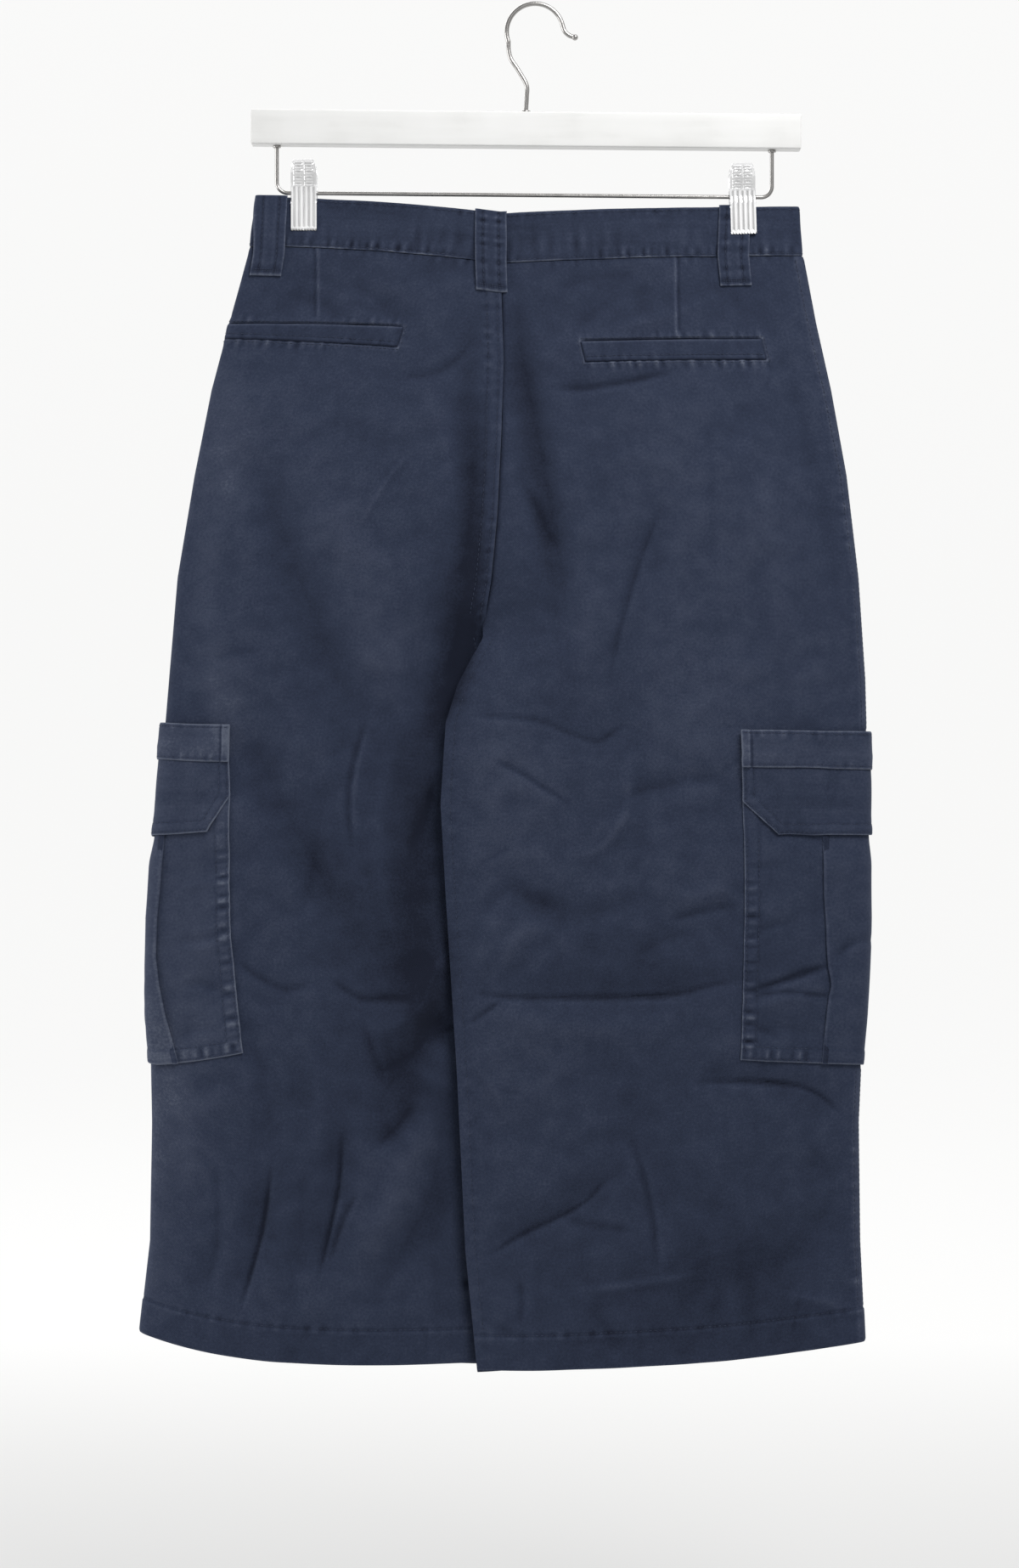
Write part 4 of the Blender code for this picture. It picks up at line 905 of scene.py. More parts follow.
def clothPiece(name, points, alongDown, tone, look, mirrored, normals=None, node=None):
    piece, row, column = gridObject(name, points, mirrored)
    layCloth(piece, row, column, alongDown, tone)
    if normals is None:
        applyModifier("SOLIDIFY", thickness=look["wall"] * mm, offset=-1.0)
    else:
        rowPick, columnPick = (np.unique(np.rint(np.linspace(0, count - 1, count // every)).astype(int))
                               for count, every in zip(points.shape, look["innerEvery"]))
        inside = innerFace(points, normals, look["wall"], rowPick, columnPick)
        lining, row, column = gridObject(name + "Inside", inside, not mirrored)
        grid = np.ix_(rowPick, columnPick)
        layCloth(lining, row, column, alongDown[grid], tone[grid])
        pick(piece)
        lining.select_set(True)
        bpy.ops.object.join()
        bpy.ops.object.mode_set(mode="EDIT")
        bpy.ops.mesh.select_mode(type="EDGE")
        bpy.ops.mesh.select_all(action="DESELECT")
        bpy.ops.mesh.select_non_manifold()
        bpy.ops.mesh.bridge_edge_loops()
        bpy.ops.object.mode_set(mode="OBJECT")
    bpy.ops.object.shade_smooth_by_angle(angle=math.radians(55.0))

    # the cut of what shows: its area, and the length and width that hold it
    steps = np.diff(points, axis=0)[:, :-1], np.diff(points, axis=1)[:-1]
    area = np.linalg.norm(np.cross(*steps), axis=2).sum()
    length, width = (max(10, round(np.linalg.norm(np.diff(points, axis=axis), axis=2).sum(axis=axis).max()))
                     for axis in (0, 1))
    cuts[name] = (width, length, round(area))
    finishPiece(piece, look["finish"])
    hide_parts(node or nodeOf(name))


def makeSheet(skin, name, drop, distance, relief, look, shift=None):
    # a piece laid on one leg's skin and moved out by its relief, which gives lift and tone; a large
    # one has a shift, which moves its points further, and gets an inner face of fewer points
    side = skin["side"]
    drop = np.broadcast_to(drop if drop.ndim == 2 else drop[:, None], distance.shape)
    points, normals, foldShade = skinAt(skin, drop, distance)
    lift, tone = relief(drop, distance)
    points = points + normals * lift[..., None]
    if shift:
        shift(points, drop, distance)
    clothPiece(name + side.capitalize(), points, np.stack((distance, -drop), axis=2),
               look["tone"][side] + tone + foldShade, look, side == "left", normals if shift else None)


cuts = {}
threads = {"seams": [], "trims": []}
thread = {
    "radius": 0.26, "flat": 0.8, "sides": 4, "colour": (0.0195, 0.0260, 0.0480),
    # from one stitch to the next, and the length of one
    "plain": (3.2, 2.5), "small": (2.8, 2.2), "tack": (1.6, 1.4),
    "proud": 0.12,            # how far it stands on the cloth
}


def sewAlong(points, normals, group, kind, short):
    # a row of stitches along a line of points, kept until they are all made at once
    pitch, length = thread[kind]
    arc = arcLength(points)
    places = np.arange(pitch / 2, arc[-1] - short * pitch, pitch)

    def at(values, where):
        return np.stack([np.interp(where, arc, values[:, i]) for i in range(3)], axis=1)

    run = at(points, places + length / 2) - at(points, places - length / 2)
    threads[group].append((at(points, places), run, at(normals, places), length))


def stitchRun(skin, drops, distances, relief, group="seams", kind="plain"):
    # stitches along a line on the skin, on a relief or at a plain lift
    fine = np.linspace(0.0, 1.0, 400)
    shares = np.linspace(0.0, 1.0, len(drops))
    drop, distance = np.interp(fine, shares, drops), np.interp(fine, shares, distances)
    points, normals, _ = skinAt(skin, drop, distance)
    lift = relief(drop, distance)[0] if callable(relief) else np.full(fine.shape, relief)
    sewAlong(points + normals * (lift + thread["proud"])[:, None], normals, group, kind, 0.25)


def makeThreads(group, name):
    # every stitch of a group in one mesh, each a small spindle pressed into the cloth
    bpy.ops.object.select_all(action="DESELECT")
    bpy.ops.mesh.primitive_uv_sphere_add(segments=thread["sides"], ring_count=3, radius=1.0)
    pattern = bpy.context.object
    shape = np.array([vertex.co[:] for vertex in pattern.data.vertices])
    faces = [list(face.vertices) for face in pattern.data.polygons]
    points = []
    allFaces = []
    for at, run, out, length in threads[group]:
        forward = run / np.linalg.norm(run, axis=1, keepdims=True)
        sideways = np.cross(forward, out)
        sideways /= np.linalg.norm(sideways, axis=1, keepdims=True)
        upward = np.cross(sideways, forward)
        for centre, f, s, u in zip(at, forward, sideways, upward):
            start = len(points) * len(shape)
            points.append(centre + np.outer(shape[:, 2] * length / 2, f)
                          + np.outer(shape[:, 0] * thread["radius"], s)
                          + np.outer(shape[:, 1] * thread["radius"] * thread["flat"], u))
            allFaces += [[start + corner for corner in face] for face in faces]
    bpy.data.objects.remove(pattern)
    mesh = bpy.data.meshes.new(name)
    mesh.from_pydata((np.concatenate(points) * mm).tolist(), [], allFaces)
    piece = bpy.data.objects.new(name, mesh)
    bpy.context.collection.objects.link(piece)
    pick(piece)
    editAll(bpy.ops.mesh.normals_make_consistent, inside=False)
    bpy.ops.object.shade_smooth()
    finishPiece(piece, "thread")
    print(name, len(points), "stitches")


# back and front panels

panel = {
    "wall": 1.0, "finish": "twill", "tone": {"left": 0.5, "right": 0.5},
    "columnStep": {"back": 1.6, "front": 2.4}, "innerEvery": (5, 3),
    "seamGap": 0.15,
    "hemSeam": 678.0, "hemRise": 0.5,
    "fellWidth": 7.5, "fellRise": 0.5, "fellRows": (1.6, 7.1), "fellRuns": ((2.0, 305.0), (524.0, 677.0)),
    # the rows of stitching beside the centre seams; the left back laps over the right
    "centreRows": {"back": {"left": (3.3, 10.0), "right": ()}, "front": {"left": (4.2,), "right": (4.2,)}},
    "centreRise": {"back": 0.5, "front": 0.4},
    "inseamWidth": 6.5, "inseamRise": 0.3,
    "lap": {"left": 1.3, "right": -1.1}, "frontHemHang": {"left": 0.5, "right": -1.2},
}


def underPatches(drop, distance):
    # 1 on bare cloth, 0 under the cargo pocket
    top, bottom, half = pocket["cover"]
    inDrop = smooth((drop - top) / 6.0) * smooth((bottom - drop) / 6.0)
    return 1.0 - inDrop * smooth((half - np.abs(distance)) / 5.0)


welt = {
    "wall": 0.9, "finish": "twill", "tone": {"left": 0.48, "right": 0.48},
    # drops of its top and bottom edges at the outer and inner ends
    "top": {"left": (50.0, 46.6), "right": (53.4, 52.0)},
    "bottom": {"left": (59.4, 59.6), "right": (66.6, 65.0)},
    "outerEnd": {"left": -31.5, "right": -39.5}, "innerEnd": {"left": -145.0, "right": -156.0}, "lift": 1.25,
    "gape": {"left": 0.9, "right": 0.35}, "row": 3.2, "frameAway": (1.7, 1.9),
}
dart = {"foot": {"left": 44.0, "right": 50.0}, "top": {"left": 74.0, "right": 83.0},
        "end": {"left": 87.0, "right": 92.0}, "depth": 0.7}
handPocket = {
    "wall": 0.8, "finish": "twill", "tone": {"left": 0.52, "right": 0.52},
    "top": 55.0, "foot": 6.0, "drop": 116.0, "edge": 8.0, "lift": 1.5,
}


def weltEdge(side, edge, distance):
    ends = welt["innerEnd"][side], welt["outerEnd"][side]
    outer, inner = welt[edge][side]
    return np.interp(distance, ends, (inner, outer))


def weltAway(side, drop, distance):
    # how far above, below and beyond the ends of the back pocket's welt a point lies
    above = weltEdge(side, "top", distance) - drop
    under = drop - weltEdge(side, "bottom", distance)
    beyond = np.maximum(distance - welt["outerEnd"][side], welt["innerEnd"][side] - distance)
    return above, under, beyond


def handLine(drop):
    return mix(handPocket["top"], handPocket["foot"], drop / handPocket["drop"])


def panelSurface(skin, face):
    # the lift and tone of a panel as functions of drop and distance from the side seam
    side = skin["side"]
    seed = {"left": 1.0, "right": 2.0}[side] + (3.0 if face == "front" else 0.0)
    rows = panel["centreRows"][face][side]
    lapped = face == "back" and side == "left"

    def relief(drop, distance):
        lift = np.zeros(np.broadcast(drop, distance).shape)
        tone = np.zeros_like(lift)
        away = np.abs(distance)
        fromEdge = edgeAt(skin, drop, face) - away

        def add(rise, shade, mask=1.0):
            np.add(lift, rise * mask, out=lift)
            np.add(tone, shade * mask, out=tone)

        # ripples with painted light and shade: paler on their crests, darker in their troughs
        def addPucker(along, away, pitch, reach, height, shift, share, mask=1.0):
            ripples = pucker(along, away, pitch, reach, height, seed + shift)
            add(ripples, share * ripples, mask)

        bare = underPatches(drop, distance)
        if face == "back":      # the felled side seam stands on the back panel
            fell = smooth((panel["fellWidth"] - away) / 1.2 + 0.5)
            add(panel["fellRise"] * fell, 0.10 * fell + 0.16 * bell(away - panel["fellWidth"], 1.2), bare)
        addPucker(drop, away - panel["fellWidth"], 8.2, 3.2, 0.22, 0.0, 0.40, bare)
        for row in panel["fellRows"]:
            add(-0.16 * bell(away - row, 0.7), 0.0, bare)

        centre = smooth((leg["crotchDrop"] + 4.0 - drop) / 6.0)     # the seat or front seam
        ridge = smooth((max(rows) + 0.6 - fromEdge) / 1.2) if rows else 0.0
        add(panel["centreRise"][face] * ridge, (0.03 if lapped else 0.06) * ridge, centre)
        # the lapping edge is worn paler; the lapped edge gets painted shade where the other laps over it
        if lapped:
            add(0.0, 0.16 * bell(fromEdge - 0.8, 0.8), centre)
        else:
            add(-0.40 * bell(fromEdge, 0.9), -0.26 * bell(fromEdge, 1.3), centre)
        # painted shade in the grooves of the stitch rows
        for row in rows:
            addPucker(drop, fromEdge - row, 7.3, 2.6, 0.26, 0.6 + row, 0.50, centre)
            add(-0.14 * bell(fromEdge - row, 0.7), -0.12 * bell(fromEdge - row, 0.9), centre)

        inseam = smooth((drop - leg["crotchDrop"] - 6.0) / 8.0)
        ridge = smooth((panel["inseamWidth"] + 0.6 - fromEdge) / 1.2)
        add(panel["inseamRise"] * ridge, 0.03 * ridge, inseam)
        addPucker(drop, fromEdge - panel["inseamWidth"], 9.0, 2.6, 0.20, 1.1, 0.34, inseam)

        fromSeam = drop - panel["hemSeam"]
        toEnd = drop - leg["hemDrop"]
        hem = smooth(fromSeam / 1.2)
        addPucker(distance, fromSeam - 0.6, 8.6, 2.6, 0.24, 1.9, 0.45)
        # painted shade in the hem's stitch groove, paler cloth below it, and a worn pale fold at the bottom
        # edge
        add(panel["hemRise"] * hem - 0.30 * bell(fromSeam, 0.9), -0.05 * hem - 0.22 * bell(fromSeam, 1.0))
        add(-0.45 * smooth((toEnd + 1.6) / 1.6),
            0.10 * bell(fromSeam - 2.0, 1.0) + 0.26 * smooth((toEnd + 1.4) / 1.2))

        # painted shade under the waistband's lower edge
        addPucker(distance, drop - 1.6, 6.0, 3.0, 0.24, 2.7, 0.4)
        add(-0.45 * bell(drop, 1.6), -0.14 * bell(drop, 1.7))

        if face == "back":
            # painted light and shade on the dart: pale beside it, dark in its fold
            dartAway = away - mix(dart["top"][side], dart["end"][side], drop / dart["foot"][side])
            add(0.35 * bell(dartAway - 2.2, 1.9) - dart["depth"] * bell(dartAway, 1.0),
                0.34 * bell(dartAway - 1.7, 1.1) - 0.26 * bell(dartAway, 1.0),
                smooth((dart["foot"][side] + 2.0 - drop) / 6.0))
            above, under, beyond = weltAway(side, drop, distance)
            across = smooth(-beyond / 2.0 + 1.0)
            beside = smooth((3.0 - np.maximum(above, under)) / 2.4)
            outside = 1.0 - smooth((-np.maximum(np.maximum(above, under), beyond)) / 1.2 + 0.3)
            upper = pucker(distance, above - 2.6, 6.1, 2.7, 0.42, seed + 3.1)
            lower = pucker(distance, under - 2.6, 6.4, 3.1, 0.50, seed + 3.9)
            ends = pucker(drop, beyond - 2.5, 5.5, 2.4, 0.3, seed + 4.4) * beside * (beyond > -1.0)
            ripples = (upper + lower) * across + ends
            rim = (bell(above - 2.2, 1.6) + bell(under - 2.0, 1.6)) * across
            rim = rim + bell(beyond - 2.0, 1.6) * beside
            line = (bell(above - 0.9, 0.9) + bell(under - 0.7, 0.9)) * across
            line = line + bell(beyond - 0.8, 0.8) * beside
            mouth = bell(above + 0.6, 1.0) * smooth((-beyond) / 3.0)
            soft = np.sin(distance / 6.3 + 1.4 * np.sin(drop / 23.0)) * bell(above - 12.0, 9.0)
            # painted light and shade on the ripples, worn pale lines along the frame, painted shade inside
            # the frame and in the pocket's mouth
            add(ripples + 0.42 * rim, 0.42 * ripples + 0.06 * rim + 0.24 * line, outside)
            add(-0.7, -0.5, 1.0 - outside)
            add(-1.5 * mouth, -0.5 * mouth)
            add(0.16 * soft + 0.14 * np.sin(distance / 5.2) * bell(under - 11.0, 8.0), 0.0, across)
        else:
            fromLine = distance - handLine(drop)
            onPart = smooth((handPocket["drop"] + 2.0 - drop) / 4.0)
            step = smooth((1.0 - fromLine) / 2.0) * smooth((distance - 3.0) / 3.0)
            # painted shade along the pocket's edge
            add(-0.6 * step, -0.16 * bell(fromLine, 1.6), onPart)
            addPucker(drop, fromLine - handPocket["edge"], 7.0, 3.0, 0.28, 5.0, 0.4, onPart)
        return lift, tone

    return relief


def makePanel(skin, face):
    side = skin["side"]
    sign = -1.0 if face == "back" else 1.0
    drops = rowsAt((leg["gap"] / 2, 6.0, 1.0), (6.0, 40.0, 1.9), (40.0, 74.0, 1.3), (74.0, 664.0, 1.9),
                   (664.0, 684.0, 1.1), (684.0, 697.0, 1.7), (697.0, leg["hemDrop"], 0.75))
    reach = edgeAt(skin, drops, face)
    count = int(round(reach.max() / panel["columnStep"][face]))
    shares = np.linspace(0.0, 1.0, count + 1)[None, :]
    ends = sign * panel["seamGap"], (sign * (reach - panel["seamGap"]))[:, None]
    distance = mix(*(ends if face == "front" else ends[::-1]), shares)
    relief = panelSurface(skin, face)

    def shift(points, drop, distance):
        # the legs part below the seat seam: one edge laps over the other, so that no daylight shows there
        fromEdge = reach[:, None] - np.abs(distance)
        lap = bell(drop - leg["crotchDrop"] - 5.0, 9.0) * smooth((7.0 - fromEdge) / 7.0)
        points[..., 0] += panel["lap"][side] * lap
        if face == "front":
            corner = smooth((drop - 640.0) / 60.0) * smooth((95.0 - fromEdge) / 80.0)
            points[..., 2] -= panel["frontHemHang"][side] * corner

    makeSheet(skin, face + "Panel", drops, distance, relief, panel, shift)

    # its own rows of stitching
    hemDrops = np.full(60, panel["hemSeam"])
    hemReach = edgeAt(skin, panel["hemSeam"], face)
    stitchRun(skin, hemDrops, sign * hemReach * np.linspace(0.004, 0.994, 60), relief)
    seatDrops = np.linspace(3.0 if face == "back" else 186.0, leg["crotchDrop"] - 4.0, 60)
    for row in panel["centreRows"][face][side]:
        stitchRun(skin, seatDrops, sign * (edgeAt(skin, seatDrops, face) - row), relief)
    innerDrops = np.linspace(leg["crotchDrop"] + 8.0, panel["hemSeam"] - 1.0, 80)
    stitchRun(skin, innerDrops, sign * (edgeAt(skin, innerDrops, face) - panel["inseamWidth"]), relief)
    if face == "back":
        for row in panel["fellRows"]:
            for ends in panel["fellRuns"]:
                stitchRun(skin, ends, (-row, -row), relief)
        (topOuter, topInner), (lowOuter, lowInner) = welt["top"][side], welt["bottom"][side]
        away, beyond = welt["frameAway"]
        outer, inner = welt["outerEnd"][side] + beyond, welt["innerEnd"][side] - beyond
        corners = [(topOuter - away, outer), (topInner - away, inner), (lowInner + away, inner),
                   (lowOuter + away, outer), (topOuter - away, outer)]
        for start, end in zip(corners, corners[1:]):
            stitchRun(skin, *zip(start, end), relief, kind="small")


def makeWelt(skin):
    side = skin["side"]
    look = welt
    outer, inner = look["outerEnd"][side], look["innerEnd"][side]
    distances = spaced(inner, outer, 1.3)
    shares = spaced(0.0, 13.0, 1.0)[:, None] / 13.0
    drop = mix(weltEdge(side, "top", distances) + 0.2, weltEdge(side, "bottom", distances), shares)

    def relief(drop, distance):
        above, under, beyond = weltAway(side, drop, distance)
        fromTop = -above - 0.2
        ripples = pucker(distance, under + 1.5, 6.4, 3.2, 0.28, 4.2)
        ripples += pucker(distance, fromTop - 3.0, 9.0, 5.0, 0.14, 7.7)
        edge = np.minimum(np.minimum(fromTop, -under), -beyond)
        lift = look["lift"] + ripples - 0.55 * bell(edge, 0.7) - 0.2 * bell(under + look["row"], 0.8)
        gape = np.sin(math.pi * (distance - inner) / (outer - inner))
        lift += look["gape"][side] * gape * bell(fromTop, 4.5)
        # painted light and shade on the ripples, painted shade along the bottom edge and at the ends; a worn
        # pale top fold
        tone = 0.42 * ripples - 0.30 * bell(under, 0.6) + 0.24 * bell(fromTop - 0.4, 0.7)
        return lift, tone - 0.2 * bell(beyond, 0.8)

    makeSheet(skin, "backWelt", drop, np.broadcast_to(distances, drop.shape), relief, look)
    stitchRun(skin, [low - look["row"] for low in look["bottom"][side]], (outer - 1.0, inner + 1.0),
              look["lift"], kind="small")


def makeHandPocket(skin):
    look = handPocket
    share, across = np.meshgrid(np.linspace(0.02, 0.98, 74), np.linspace(0.0, 1.0, 9), indexing="ij")
    drop = share * look["drop"]

    def relief(drop, distance):
        fromLine = distance - handLine(drop)
        ripples = pucker(drop, fromLine - 0.8 * look["edge"], 7.0, 4.0, 0.26, 5.5)
        lift = look["lift"] + ripples - 0.45 * bell(np.minimum(fromLine, look["edge"] - fromLine), 0.7)
        # painted light and shade on the ripples; a worn pale edge
        return lift, 0.4 * ripples + 0.20 * bell(fromLine, 1.2)

    makeSheet(skin, "handPocketEdge", drop, handLine(drop) + across * look["edge"], relief, look)
    drops = np.array((4.0, look["drop"] * 0.96))
    lines = look["top"], handLine(drops[1])
    for row in (1.6, look["edge"] - 1.4):
        stitchRun(skin, drops, [lines[0] - 1.6 + row, lines[1] + row], look["lift"])


fly = {
    "wall": 0.8, "finish": "twill",
    "width": 37.5, "foot": 182.0, "curveFrom": 140.0, "lift": 1.25, "rows": (5.0, 11.0),
}


def makeFly(skin):
    # the fly's overlap on the left front, with a curved foot and its curved rows of stitches
    look = fly

    def widthAt(drop, inset, least):
        bend = unit((drop - look["curveFrom"]) / (look["foot"] - inset - look["curveFrom"]))
        return (look["width"] - inset) * np.sqrt(np.maximum(1.0 - bend ** 2, least))

    drops = rowsAt((leg["gap"] / 2, 120.0, 2.2), (120.0, look["foot"], 1.6))
    drop, share = np.meshgrid(drops, np.linspace(0.0, 1.0, 23), indexing="ij")
    width = widthAt(drop, 0.0, 0.0064)
    reach = edgeAt(skin, drop, "front") - 0.3
    distance = mix(reach - width, reach, share)
    points, normals, foldShade = skinAt(skin, drop, distance)
    fromRear = share * width
    fromFront = (1.0 - share) * width
    ripples = pucker(drop, fromRear - 6.0, 7.5, 5.0, 0.28, 2.2)
    lift = look["lift"] + ripples - 0.5 * bell(fromFront, 0.9) - 0.4 * bell(fromRear, 0.8)
    # painted light and shade on the ripples; a worn pale front edge
    tone = 0.52 + 0.4 * ripples + 0.22 * bell(fromFront - 0.8, 1.4) + foldShade
    clothPiece("flyPlacket", points + normals * lift[..., None], np.stack((distance, -drop), axis=2), tone,
               look, True)
    for inset in look["rows"]:
        runDrops = np.linspace(3.0, look["foot"] - inset, 60)
        distances = edgeAt(skin, runDrops, "front") - widthAt(runDrops, inset, 0.004)
        stitchRun(skin, runDrops, distances, look["lift"])


# cargo pockets

pocket = {
    # the left pocket's tone is paler than the right's: painted light on the side turned towards the light
    "wall": 0.8, "finish": "twill", "tone": {"left": 0.63, "right": 0.52},
    "seed": {"left": 5.0, "right": 8.0},
    "top": 334.0, "bottom": 521.5, "half": 82.0, "lift": 1.25, "hem": 9.0, "seamRow": 1.8, "pleatRise": 2.2,
    "cover": (302.0, 527.0, 88.0),      # the leg is flat under it between two drops, this far to both sides
    "pleatEdge": {
        "drop": [330, 375, 413, 453, 471, 487, 521],
        "left": [40.5, 39.5, 36.5, 32.5, 33, 35, 40.5],
        "right": [33, 33, 32.3, 29.5, 26, 28, 29.7],
    },
    # the folded edge of the pleat: how far in from its edge, and the share of its rise
    "pleatTurn": [(-5, 0), (-2.6, 0), (-0.8, 0), (0.8, 0), (2.2, 0.02), (3, 0.08), (3.3, 0.17), (3, 0.26),
                  (2.2, 0.30), (0.8, 0.31), (0, 0.36), (-0.4, 0.48), (-0.45, 0.64), (-0.15, 0.82),
                  (0.6, 0.95), (1.8, 1), (3.6, 1)],
}
pocketCreases = {             # drag lines in the pockets, as in the list for the legs
    "right": [(3.2, -1.7, 0.5, 1.2, [134,642, 152,634, 172,626, 190,622]),
              (4, 1.2, 0.4, 0, [134,650, 156,642, 188,632]),
              (3, -1.1, 0.5, 0.6, [134,606, 150,596, 166,592]),
              (3.4, -0.9, 0.5, 0, [136,560, 148,556, 160,558]),
              (3, -1, 0.5, 0.6, [192,618, 204,606, 216,604]),
              (3.6, -0.9, 0.4, 0, [138,664, 158,660, 186,664])],
    "left": [(3.6, -1.2, 0.4, 0.8, [-192,596, -212,604, -232,606]),
             (3.2, -1, 0.4, 0.6, [-190,642, -208,632, -228,634]),
             (4, 0.9, 0.3, 0, [-192,570, -212,566, -230,572]),
             (3.4, -0.8, 0.5, 0, [-196,664, -214,660, -232,668])],
}


def makeCargoPocket(skin):
    side = skin["side"]
    look = pocket
    half = look["half"]
    seed = look["seed"][side]
    drops = np.concatenate((rowsAt((look["top"], 372.0, 4.0), (372.0, 508.0, 2.0)),
                            spaced(508.6, look["bottom"], 1.1)[1:]))
    outer = np.concatenate(([0.0, 0.35, 0.8], rowsAt((1.35, 12.0, 1.05), (12.0, half - 43.0, 1.9))))
    offsets, rises = np.array(look["pleatTurn"]).T
    middle = np.linspace(-1.0, 1.0, 26)[1:-1]
    columns = []
    for edge in read(look["pleatEdge"], drops, side):
        left = np.concatenate((mix(-half, offsets[0] - edge, outer / outer[-1] * 0.985), offsets - edge))
        columns.append(np.concatenate((left, middle * (edge - offsets[-1] - 0.6), -left[::-1])))
    distance = np.array(columns)
    flat = np.zeros(len(outer))
    rise = np.concatenate((flat, rises, np.ones(len(middle)), rises[::-1], flat))

    def surface(drop, distance):
        away = np.abs(distance)
        fromSide = half - away
        fromBottom = look["bottom"] - drop
        near = np.minimum(fromSide, fromBottom)
        hem = smooth((look["hem"] + 0.8 - near) / 1.4)
        onFlat = smooth((away - 36.0) / 4.0)
        ripples = pucker(drop, fromSide - 4.6, 6.6, 3.8, 0.55, seed) * smooth((fromBottom - 3.0) / 6.0)
        ripples = ripples + pucker(distance, fromBottom - 4.6, 6.9, 3.8, 0.42, seed + 1.0) * onFlat
        grooves = bell(near - look["seamRow"], 0.8) + bell(near - look["hem"], 0.8)
        drag = 0.35 * np.sin(drop / 7.5 + 0.8 * np.sin(distance / 9.0) + seed)
        drag = drag * smooth((fromSide - 9.0) / 5.0) * smooth((36.0 - fromSide) / 20.0)
        lift = look["lift"] + 0.35 * hem + ripples - 0.16 * grooves - 0.55 * bell(near, 0.8) + drag
        # painted light and shade on the ripples and drag, painted shade in the stitch grooves; worn pale
        # edges
        tone = 0.02 * hem + 0.46 * ripples + 0.42 * bell(near - 0.25, 0.55) - 0.12 * grooves + 0.08 * drag
        return lift, tone

    def relief(drop, distance):
        # the plain pocket with its pleat and drag lines
        puff = smooth((drop - 374.0) / 22.0) * mix(0.42, 1.0, smooth((look["bottom"] - drop) / 34.0))
        puff = puff * (1.0 + 0.16 * np.sin(drop / 17.0 + distance / 21.0))
        points = skinAt(skin, drop, distance)[0]
        drag = np.zeros(drop.shape)
        for crease in pocketCreases[side]:
            addCrease(drag, points[..., 0], -points[..., 2], crease)
        lift, tone = surface(drop, distance)
        # painted shadow at the foot of the pleat's fold, a paler folded edge, worn and painted highlight, and
        # painted light and shade on the drag lines
        tone = tone + 0.02 * (rise > 0.9) - 0.35 * bell(rise - 0.22, 0.16) * (rise > 0.01)
        tone = tone + 0.22 * bell(rise - 0.88, 0.12) * (rise < 0.99) + 0.05 * drag
        return lift + look["pleatRise"] * puff * rise + drag, tone

    makeSheet(skin, "cargoPocket", drops, distance, relief, look)
    for inset in (look["seamRow"], look["hem"]):
        low = look["bottom"] - inset
        edge = half - inset
        for sign in (-1.0, 1.0):
            stitchRun(skin, (377.0, low), (sign * edge, sign * edge), surface)
            stitchRun(skin, (low, low), (sign * edge, sign * 37.0), surface)


flap = {
    # the left flap's tone is paler than the right's: painted light on the side turned towards the light
    "wall": 0.9, "finish": "trim", "tone": {"left": 0.59, "right": 0.51},
    "seed": {"left": 11.0, "right": 14.0},
    "top": 309.0, "corner": 354.0, "bottom": 375.0, "half": 82.0, "cutHalf": {"left": 68.5, "right": 61.0},
    "lift": 2.5, "curl": 0.8, "rows": (1.7, 7.0),
}


def makeFlap(skin):
    side = skin["side"]
    look = flap
    half = look["half"]
    cutHalf = look["cutHalf"][side]
    seed = look["seed"][side]
    slope = (look["bottom"] - look["corner"]) / (half - cutHalf)
    drops = np.concatenate((rowsAt((look["top"], 330.0, 3.5)), spaced(330.5, look["bottom"], 1.35)[3:]))
    cut = unit((drops - look["corner"]) / (look["bottom"] - look["corner"]))
    distance = spaced(-half, half, 1.6) / half * mix(half, cutHalf, cut)[:, None]

    def relief(drop, distance):
        fromSide = half - np.abs(distance)
        fromBottom = look["bottom"] - drop
        fromCut = (fromSide * slope + (look["corner"] - drop)) / math.hypot(1.0, slope)
        near = np.minimum(np.minimum(fromSide, fromBottom), fromCut)
        ripples = pucker(distance, fromBottom - 6.5, 7.4, 3.6, 0.30, seed)
        ripples = ripples + pucker(drop, fromSide - 5.5, 6.8, 3.6, 0.30, seed + 1.0)
        hem = smooth((7.6 - near) / 1.4)
        grooves = bell(near - look["rows"][0], 0.7) + bell(near - look["rows"][1], 0.8)
        wave = 0.45 * np.sin(distance / 15.0 + seed) * bell(fromBottom - 26.0, 18.0)
        lift = look["lift"] + ripples + 0.28 * hem - 0.18 * grooves - 0.5 * bell(near, 0.7) + wave
        lift = lift + look["curl"] * smooth((16.0 - fromBottom) / 16.0)
        # painted light and shade on the ripples and the wave, painted shade in the stitch grooves; worn pale
        # edges
        tone = 0.46 * ripples + 0.46 * bell(near - 0.25, 0.55) - 0.12 * grooves + 0.03 * hem + 0.06 * wave
        return lift, tone

    makeSheet(skin, "cargoFlap", drops, distance, relief, look)
    for inset in look["rows"]:
        low = look["bottom"] - inset
        cut = look["corner"] - inset * 0.42
        edge = half - inset
        corner = cutHalf - inset * 0.42
        stitchRun(skin, [334.0, cut, low, low, cut, 334.0], [-edge, -edge, -corner, corner, edge, edge],
                  relief, "trims")


band = {
    # the left band's tone is paler than the right's: painted light on the side turned towards the light
    "wall": 0.9, "finish": "trim", "tone": {"left": 0.69, "right": 0.59},
    "seed": {"left": 17.0, "right": 19.0},
    "top": 308.0, "bottom": 332.0, "half": 82.0, "lift": 3.8, "endStrip": 5.2,
}


